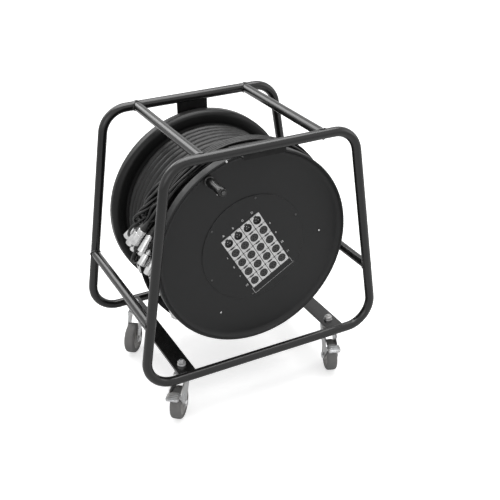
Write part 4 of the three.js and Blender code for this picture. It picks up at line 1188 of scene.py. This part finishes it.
@dataclass
class MulticoreCable:
    """The wound multicore, its lead-out and the breakout boot, in millimetres on the drum."""

    radius: float = 9.2
    wound: float = 190.3
    rear: float = 122.5
    pitch: float = 19.2
    turns: float = 5.5
    end_angle: float = 200.0
    lead_sweep: float = 48.0
    lead_rise: float = 29.5
    lead_end: float = -67.7

    def helix(self, start: float, reach: float, pitch: float, turns: float,
              density: int) -> list[Vector]:
        """The middle line of a layer of turns, from the rear flange forward.

        Args:
            start: The angle at which it starts, in degrees.
            reach: Its radius.
            pitch: Its advance in one turn.
            turns: How many turns it has.
            density: Points in one turn.

        Returns:
            The points, in metres.
        """
        steps = int(turns * density)
        return [polar(start + 360 * turns * i / steps, reach, self.rear - pitch * turns * i / steps)
                for i in range(steps + 1)]

    def winding(self) -> list[Vector]:
        """The middle line of the outer layer and its lead-out."""
        start = self.end_angle - self.turns * 360
        points = self.helix(start, self.wound, self.pitch, self.turns, 48)
        front = self.rear - self.pitch * self.turns
        steps = 14
        for share in (i / steps for i in range(1, steps + 1)):
            points.append(polar(self.end_angle + share * self.lead_sweep,
                                self.wound + ease(share) * self.lead_rise,
                                front + ease(share) * (self.lead_end - front)))
        along = (points[-1] - points[-2]).normalized()
        return [*points, points[-1] + along * 2 * self.radius * MM]

    def jacket(self, points: Sequence[Vector]) -> Form:
        """The round jacket along points, as a mesh."""
        curve = wire("jacket", points, self.radius * MM, 6)
        curve.use_fill_caps = True
        return sewn(curve_form(curve), WELD)

    def boot(self, points: Sequence[Vector]) -> Form:
        """The boot that swells from the cable to the flat block of tails.

        Args:
            points: The middle line of the cable that ends in it.

        Returns:
            The boot, in metres.
        """
        start = points[-1]
        along = (points[-1] - points[-2]).normalized()
        outward = start - DRUM
        outward = Vector((outward.x, 0, outward.z)).normalized()
        end = polar(262, 217.3, -69)
        ahead = (polar(352, 1, 0) - DRUM).normalized()
        sides, steps, thin, wide, deep = 32, 12, 10.7, 16.7, 13.6
        form = bmesh.new()
        rings = []
        for share in (step / steps for step in range(steps + 1)):
            eased = ease(share)
            middle = start.lerp(end, share) + (along * math.sin(share * math.pi) * 2 * MM)
            heading = along.lerp(ahead, eased).normalized()
            out = (outward - heading * outward.dot(heading)).normalized()
            half = out * (thin + (wide - thin) * eased)
            side = heading.cross(out) * (thin + (deep - thin) * eased)
            power = 2 + 6 * eased
            ring = []
            for corner in range(sides):
                turn = 2 * math.pi * corner / sides
                c, s = math.cos(turn), math.sin(turn)
                reach = (abs(c) ** power + abs(s) ** power) ** (-1 / power)
                ring.append(form.verts.new(middle + (half * c + side * s) * reach * MM))
            rings.append([form.edges.new((ring[i], ring[(i + 1) % sides]))
                          for i in range(sides)])
        for first, second in zip(rings, rings[1:]):
            bmesh.ops.bridge_loops(form, edges=first + second)
        bmesh.ops.holes_fill(form, edges=rings[0] + rings[-1], sides=sides)
        return sewn(form)

    def build(self) -> None:
        """Makes the winding, the layer under it and the boot."""
        outer = self.winding()
        lower = self.helix(start=-400, reach=174.0, pitch=19.0, turns=8.6, density=40)
        for name, form, finish, node, crease in (
                ("multicore_winding", self.jacket(outer), CABLE_JACKET, "cable_winding", 60),
                ("multicore_lower_layer", self.jacket(lower), CABLE_JACKET, "cable_core", 60),
                ("breakout_sleeve", self.boot(outer), BOOT_RUBBER, "breakout_boot", 50)):
            make(name, form, finish, Body.DRUM, Slot.CABLE_JACKET, [node], crease)


@dataclass
class StageBox:
    """The round panel with its housing, cover and twenty sockets, in millimetres on the drum.

    Attributes:
        face: The panel's face along the axis.
        cover_face: The cover's face along the axis.
        grid_turn: Turn of the socket grid, in degrees.
        grid_across: The grid's middle, to the right of the axis.
        grid_up: The grid's middle, above the axis.
        column_pitch: Distance between sockets in a row.
        row_pitch: Distance between rows.
        pin_circle: Distance of the pins and holes from a socket's middle.
    """

    face: float = -127.4
    cover_face: float = -129.3
    grid_turn: float = 30.0
    grid_across: float = 3.5
    grid_up: float = -8.6
    column_pitch: float = 26.5
    row_pitch: float = 31.2
    pin_circle: float = 3.7

    def on_grid(self, across: float, up: float, along: float) -> Matrix:
        """A placing matrix for something on the turned socket grid."""
        turn = Matrix.Rotation(-math.radians(self.grid_turn), 4, "Y")
        middle = shift(self.grid_across, along, self.grid_up)
        return ON_DRUM @ middle @ turn @ shift(across, 0, up)

    def dish(self) -> Profile:
        """The panel with its rolled lip."""
        back, hole = self.face + 2, 110
        lip = [(227.6 + 2.6 * math.cos(a), -133.8 - 2.6 * math.sin(a))
               for a in (math.pi * i / 12 for i in range(13))]
        sweep = [(213.6 + 12 * math.sin(a), -139.4 + 12 * math.cos(a))
                 for a in (math.radians(71 - 71 * i / 8) for i in range(9))]
        return [(hole, back), (228.2, back), (228.2, -116), (230.2, -116), *lip, *sweep,
                *((radius, self.face) for radius in (211, 170, 128, 112, hole))]

    def flange(self) -> Form:
        """A socket's flange, with rounded corners and a round hole.

        Returns:
            The flange, its face on the -Y side, in metres.
        """
        hole, half_x, half_z, corner, thick = 9.7, 12.6, 15.05, 1.2, 2
        form = bmesh.new()
        bmesh.ops.create_circle(form, cap_ends=False, radius=hole * MM, segments=64, matrix=STAND)
        outer = bmesh.ops.extrude_edge_only(form, edges=list(form.edges))["geom"]
        for vert in only(outer, bmesh.types.BMVert):
            turn = math.atan2(vert.co.z, vert.co.x)
            c, s = math.cos(turn), math.sin(turn)
            reach = min(half_x / max(abs(c), 1e-6), half_z / max(abs(s), 1e-6))
            x, z = reach * c, reach * s
            dx, dz = abs(x) - (half_x - corner), abs(z) - (half_z - corner)
            if dx > 0 and dz > 0:
                pull = corner / math.hypot(dx, dz)
                x = math.copysign(half_x - corner + dx * pull, x)
                z = math.copysign(half_z - corner + dz * pull, z)
            vert.co = Vector((x, 0, z)) * MM
        form.normal_update()
        bmesh.ops.solidify(form, geom=list(form.faces), thickness=thick * MM)
        low = min(vert.co.y for vert in sewn(form).verts)
        bmesh.ops.translate(form, verts=form.verts, vec=(0, -thick * MM - low, 0))
        soften(form, [edge for edge in form.edges if edge.calc_face_angle(0) > 1.2
                      and all(vert.co.y < -1.9 * MM for vert in edge.verts)], 0.35)
        return form

    def socket(self, across: float, up: float, male: bool) -> dict[str, list[Form]]:
        """The forms of one socket by finish.

        Args:
            across: Its place across the grid.
            up: Its place up the grid.
            male: Whether it shows pins in a cup.

        Returns:
            Forms for the nickel, the black insert with the painted shade of the latch slot, the grey
            face, the painted shade of the holes and the pins.
        """
        place = self.on_grid(across, up, self.cover_face - 0.3)
        nickel = [placed(self.flange(), place)]
        nickel += [placed(screw_head(4.2, 0.7), place @ shift(sign * 9.9, -2, -sign * 12.2))
                   for sign in (-1, 1)]
        # The black bar at the top of each socket paints the shade of the latch slot.
        rise, size = (10.9, (0.007, 0.0016, 0.0032)) if male else (15, (0.0105, 0.0016, 0.0022))
        tab = cube(shift(0, -2.5, rise), size)
        soften(tab, tab.edges, 0.4)
        black = [placed(tab, place)]
        if male:
            cup = [(9.6, -1.6), (9.6, -2.5), (9.2, -2.8), (8.8, -2.6), (8.5, -1.6), (8.5, 11.8),
                   (0, 11.8), (0, 14), (11.6, 14), (11.6, 0), (9.6, 0)]
            slant = Matrix.Rotation(math.pi / 4, 4, "Y")
            black += [spun(cup, 56, place),
                      cube(place @ (shift(-5.4, 4.2, -5.4) @ slant), (0.0022, 0.012, 0.0026))]
            pin = [(0, 11.8), (1.25, 11.8), (1.25, 0.6), (0, -0.4)]
            pins = [spun(pin, 14, place @ spot, 0.6) for spot in around(self.pin_circle)]
            return {"nickel": nickel, "black": black, "pin": pins}
        ring = [(9.6, -1.4), (9.6, -2.5), (9.2, -2.8), (8.8, -2.6), (8.5, -1.4), (8.5, 0.8),
                (9.6, 0.8)]
        black.append(spun(ring, 56, place, 0.2))
        face = [(0, -2.1), (7.9, -2.1), (8.3, -1.7), (8.3, 2), (0, 2)]
        # Black discs just proud of the grey face paint the shade inside the three contact holes.
        hole = [(0, -2.15), (1.65, -2.15), (1.8, -2.12), (1.8, 0), (0, 0)]
        holes = [spun(hole, 16, place @ spot) for spot in around(self.pin_circle)]
        return {"nickel": nickel, "black": black, "grey": [spun(face, 48, place)], "hole": holes}

    def build_sockets(self) -> None:
        """The male row and the four female rows."""
        finishes = {"nickel": NICKEL, "black": BLACK_INSERT, "grey": GREY_INSERT,
                    "hole": HOLE_PAINTED_SHADE, "pin": PLUG_NICKEL}
        for row in range(1 + FEMALE_ROWS):
            node = f"female_socket_row_{row}" if row else "male_socket_row"
            made = [self.socket((column - 1.5) * self.column_pitch, (2 - row) * self.row_pitch,
                                row == 0) for column in range(COLUMNS)]
            for kind in made[0]:
                form = merged([form for socket in made for form in socket[kind]])
                stands = (Slot.NICKEL, [node]) if kind == "nickel" else ()
                make(f"{node}_{kind}", form, finishes[kind], Body.DRUM, *stands)

    def build_labels(self) -> None:
        """Plain numbers and letters beside the sockets, and a thin frame under them."""
        marks = [(letter, (column - 1.5) * self.column_pitch, 85.6)
                 for column, letter in enumerate("ABCD")]
        for row in range(FEMALE_ROWS):
            up = (1 - row) * self.row_pitch + 1.6
            marks += [(str(COLUMNS * row + 1), -60.6, up), (str(COLUMNS * (row + 1)), 60.2, up)]
        lines = ((0, -78, 110, 0.7), (0, -95, 110, 0.7), (-55, -86.5, 0.7, 17.7),
                 (55, -86.5, 0.7, 17.7))
        forms = [cube(self.on_grid(across, up, self.cover_face), (wide * MM, 0.0001, high * MM))
                 for across, up, wide, high in lines]
        for text, across, up in marks:
            curve = bpy.data.curves.new("mark", "FONT")
            curve.body = text
            curve.size = 7.2 * MM
            curve.extrude = 0.04 * MM
            curve.offset = 0.2 * MM
            curve.align_x = curve.align_y = "CENTER"
            place = self.on_grid(across, up, self.cover_face - 0.05)
            forms.append(placed(curve_form(curve), place @ STAND))
        make("socket_marks", merged(forms), LABEL_INK, Body.DRUM)

    def build(self) -> None:
        """Makes the box."""
        front, back = self.cover_face, self.cover_face + 1.6
        housing = [(AXLE_HOLE, -97), (112, -97), (112, -125.1), (110, -125.1), (110, -99),
                   (AXLE_HOLE, -99)]
        cover = [(0, front), (60, front), (122, front), (124.4, front), (125, front + 0.5),
                 (125, back), (0, back)]
        for name, form, node in (
                ("housing_shell", spun(housing, 112, ON_DRUM, 1.2), "stage_box_housing"),
                ("dish_panel", spun(self.dish(), 176, ON_DRUM), "stage_box_dish"),
                ("cover_plate", spun(cover, 144, ON_DRUM), "access_cover")):
            make(name, form, DRUM_COAT, Body.DRUM, Slot.DRUM_COAT, [node])
        screws = [(5.2, 1.6, polar(28 + 60 * i, 118.5, front)) for i in range(6)]
        studs = [(5.0, 1.6, polar(angle, 168, self.face)) for angle in (-120, 0, 120)]
        studs.append((5.4, 1.4, polar(106.7, 227.6, -136.2)))
        for name, heads, finish in (("cover_screws", screws, BLACK_ZINC),
                                    ("dish_studs", studs, PLUG_NICKEL)):
            forms = [placed(screw_head(wide, high), Matrix.Translation(place))
                     for wide, high, place in heads]
            make(name, merged(forms), finish, Body.DRUM)
        self.build_sockets()
        self.build_labels()


@dataclass
class Crank:
    """The folding crank's foot, pin and grip, in millimetres on the drum."""

    angle: float = 119.7
    reach: float = 206.7
    foot: float = -127.7

    def build(self) -> None:
        """Makes the crank."""
        place = Matrix.Translation(polar(self.angle, self.reach, self.foot))
        boss = [(4.3, 0), (12, 0), (12, -2.2), (9, -4), (4.3, -4)]
        pin = [(0, -0.3), (4, -0.3), (4, -66.9), (4.6, -66.9), (4.6, -68.2), (3.2, -69.2),
               (0, -69.2)]
        grip = [(4.4, -6.6), (8.5, -6.6), (10.2, -10), (10.5, -16), (9.4, -30), (9.6, -44),
                (10.5, -58), (10.1, -64), (8.5, -66.6), (4.4, -66.6)]
        make("crank_foot", spun(boss, 48, place, 0.6), FRAME_COAT, Body.DRUM, None,
             ["crank_bracket"])
        make("crank_axle", spun(pin, 40, place, 0.6), BLACK_ZINC, Body.DRUM, Slot.ZINC,
             ["crank_pin"])
        make("crank_handle", spun(grip, 56, place, 2.4, 5), GRIP_PLASTIC, Body.GRIP,
             Slot.GRIP_PLASTIC, ["crank_grip"])


@dataclass
class Caster:
    """One swivel caster.

    Attributes:
        place: Its place's name in the frame.
        braked: Whether it has a pedal.
    """

    place: str
    braked: bool

    def pedal(self, joint: dict) -> None:
        """The brake pedal: a lever between the fork's legs under a wide ribbed tab.

        Args:
            joint: The pedal's joint in the frame.
        """
        axis = Vector(joint["axis"])
        place = basis(axis.cross(UP), axis, UP, Vector(joint["pos_m"]))
        lever = [block((-5, -9, -5), (9, 9, 9), 3, 0.8),
                 block((-1, -9, -9), (4.5, 9, -3), 1.5, 0.6)]
        tab = [block((0, -15, 8.6), (26, 15, 11.4), 6, 0.9),
               block((22, -13, 5.6), (25, 13, 9.4), 1.2, 0.7)]
        pin = lathe([(0, -15), (2.5, -15), (2.5, 15), (0, 15)], 20)
        body = f"brake_{self.place}"
        make(f"brake_lever_{self.place}", placed(merged([*lever, *tab, pin]), place), ZINC, body,
             Slot.ZINC, [f"brake_pedal_{self.place}"])
        ribs = merged([block((x, -10, 11.2), (x + 3.4, 10, 12.1), 1.6, 0.3) for x in (5, 11, 17)])
        make(f"brake_ribs_{self.place}", placed(ribs, place), ZINC, body)

    def build_wheel(self, joint: dict) -> None:
        """The tyre, the hub and the bolt.

        Args:
            joint: The wheel's joint in the frame.
        """
        hub, body = Vector(joint["pos_m"]), f"wheel_{self.place}"
        wheel = facing(Vector(joint["axis"]), hub)
        radius = hub.z / MM
        tread = [(26.5, 12), (27.5, 12), (radius - 3.5, 12), (radius - 0.8, 9.6), (radius, 6),
                 (radius, 0)]
        # The corner that comes twice stays sharp.
        tyre = [*mirrored(tread), (26.5, -12)]
        core = mirrored([(4.4, 12), (12.2, 12), (13.4, 8.4), (24.6, 8), (26.6, 11.4), (26.6, 0)])
        make(f"wheel_tyre_{self.place}", spun(tyre, 96, wheel, 0.7), TREAD_RUBBER, body,
             Slot.WHEEL_RUBBER, [f"caster_wheel_{self.place}"])
        make(f"wheel_hub_{self.place}", spun(core, 72, wheel, 0.6), HUB_PLASTIC, body)
        out = Matrix.Translation((0, -0.0153, 0))
        bolt = [placed(hex_head(13, 4.4), wheel @ out),
                placed(hex_head(13, 4.4), wheel @ ABOUT @ out),
                spun([(0, -17), (4, -17), (4, 17), (0, 17)], 24, wheel)]
        make(f"wheel_bolt_{self.place}", merged(bolt), ZINC, f"swivel_{self.place}", Slot.ZINC,
             [f"caster_axle_{self.place}"])

    def build_head(self, joint: dict) -> None:
        """The ball race, the rivet and the stem with its washer and nut.

        Args:
            joint: The swivel's joint in the frame.
        """
        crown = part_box(f"caster_fork_{self.place}")[1].z
        foot = Vector((joint["pos_m"][0], joint["pos_m"][1], crown))
        upright = basis(Vector((1, 0, 0)), UP, Vector((0, -1, 0)), foot)
        race = [(5, 0.3), (16, 0.3), (17, 1.6), (17, 4.2), (15.6, 4.8), (15.6, 5.4), (17, 6),
                (17, 9.2), (15, 10.5), (5, 10.5)]
        rivet = [(0, -7.2), (7, -7.2), (8.5, -5.6), (8.5, -3.8), (5, -3.8), (5, 17.6), (0, 17.6)]
        washer = [(5, 17.1), (10, 17.1), (10, 18.5), (5, 18.5)]
        tip = [(0, 22), (4.8, 22), (4.8, 28.4), (3.8, 29.4), (0, 29.4)]
        stem = [spun(race, 48, upright, 0.5), spun(rivet, 32, upright, 0.6),
                placed(hex_head(16, 7), upright @ shift(0, 18.5, 0) @ ABOUT),
                spun(washer, 40, upright, 0.3), spun(tip, 32, upright)]
        make(f"caster_head_{self.place}", merged(stem), ZINC, Body.FRAME, Slot.ZINC,
             [f"caster_stem_{self.place}"])

    def build(self) -> None:
        """Makes the wheel, the bolt and the stem, and dresses the fork."""
        joints = {joint["name"]: joint for joint in frame["joints"]}
        self.build_wheel(joints[f"wheel_{self.place}_roll"])
        dress(f"caster_fork_{self.place}", ZINC, FORK_EDGE)
        if self.braked:
            self.pedal(joints[f"brake_{self.place}_press"])
        self.build_head(joints[f"swivel_{self.place}_turn"])


@dataclass
class Studio:
    """The pale floor and the soft light.

    Attributes:
        sky: Strength of the world's light.
        shine: Strength of the world in reflections.
        bounce: How much light the floor gives back.
        gleam: Extra strength of the floor in reflections.
        glow: Extra strength of the floor before the camera.
        pale: The floor's grey before the camera.
        drop: How far the floor lies under the object, in metres.
        key: Power of the overhead panel, in watts.
        fill: Power of the panel at the camera's side, in watts. The right panel has half.
        back: Power of the panel behind the object, in watts.
    """

    sky: float = 0.5
    shine: float = 0.9
    bounce: float = 0.42
    gleam: float = 0.32
    glow: float = 0.6
    pale: float = 0.8
    drop: float = 0.0002
    key: float = 60.0
    fill: float = 8.0
    back: float = 42.0

    def floor(self) -> None:
        """A pale floor that shows the background's white and keeps the shadow."""
        form = bmesh.new()
        bmesh.ops.create_grid(form, x_segments=1, y_segments=1, size=12)
        made = bpy.data.materials.new("studio_floor")
        made.use_nodes = True
        sheet = Sheet(made.node_tree)
        rays = sheet.add("LightPath").outputs
        glow = sheet.math("MULTIPLY", rays["Is Camera Ray"], self.glow)
        glow = sheet.math("MULTIPLY_ADD", rays["Is Glossy Ray"], self.gleam, glow)
        pale = sheet.blend(rays["Is Camera Ray"], grey(self.bounce), grey(self.pale))
        sheet.fill("Principled BSDF", {"Roughness": 0.9, "Base Color": pale,
                                       "Emission Color": grey(1.0), "Emission Strength": glow})
        ground = linked("studio_floor", to_mesh("studio_floor", form))
        ground.data.materials.append(made)
        ground.location.z = -self.drop

    def world(self) -> None:
        """A white background over a plain soft sky."""
        world = bpy.data.worlds.new("studio")
        bpy.context.scene.world = world
        world.use_nodes = True
        sheet = Sheet(world.node_tree)
        rays = sheet.add("LightPath").outputs
        seen = sheet.math("MAXIMUM", rays["Is Camera Ray"], rays["Is Transmission Ray"])
        strength = sheet.math("MULTIPLY_ADD", seen, 1 - self.sky, self.sky)
        more = self.shine - self.sky
        strength = sheet.math("MULTIPLY_ADD", rays["Is Glossy Ray"], more, strength)
        sheet.fill("Background", {"Color": grey(1.0), "Strength": strength})

    def panel(self, name: str, place: Vector, size: float, power: float) -> None:
        """A square soft light that looks at the drum."""
        data = bpy.data.lights.new(name, "AREA")
        data.size = size
        data.energy = power
        lamp = linked(name, data)
        lamp.location = place
        lamp.rotation_mode = "QUATERNION"
        lamp.rotation_quaternion = (DRUM - place).to_track_quat("-Z", "Y")

    def build(self) -> None:
        """Makes the studio."""
        self.floor()
        self.world()
        for name, place, size, power in (("overhead", (0.3, 0.3, 2.6), 2.2, self.key),
                                         ("camera_side", (-1.9, -2.0, 1.6), 1.6, self.fill),
                                         ("right", (2.2, -1.0, 1.3), 1.2, self.fill * 0.5),
                                         ("rear", (-1.0, 2.8, 2.5), 2.0, self.back)):
            self.panel(f"{name}_panel", Vector(place), size, power)


def main() -> None:
    """Builds the object in its frame, piece by piece."""
    logging.basicConfig(level=logging.INFO, format="%(message)s")
    bpy.context.scene.view_settings.view_transform = "Standard"
    builders = [PhotoCamera(), FanoutTails(), TubeFrame(), DrumBearings(), CableDrum(),
                MulticoreCable(), StageBox(), Crank()]
    builders += [Caster(place, place.startswith("front"))
                 for place in ("front_left", "front_right", "rear_left", "rear_right")]
    for builder in (*builders, Studio()):
        builder.build()


if __name__ == "__main__":
    main()
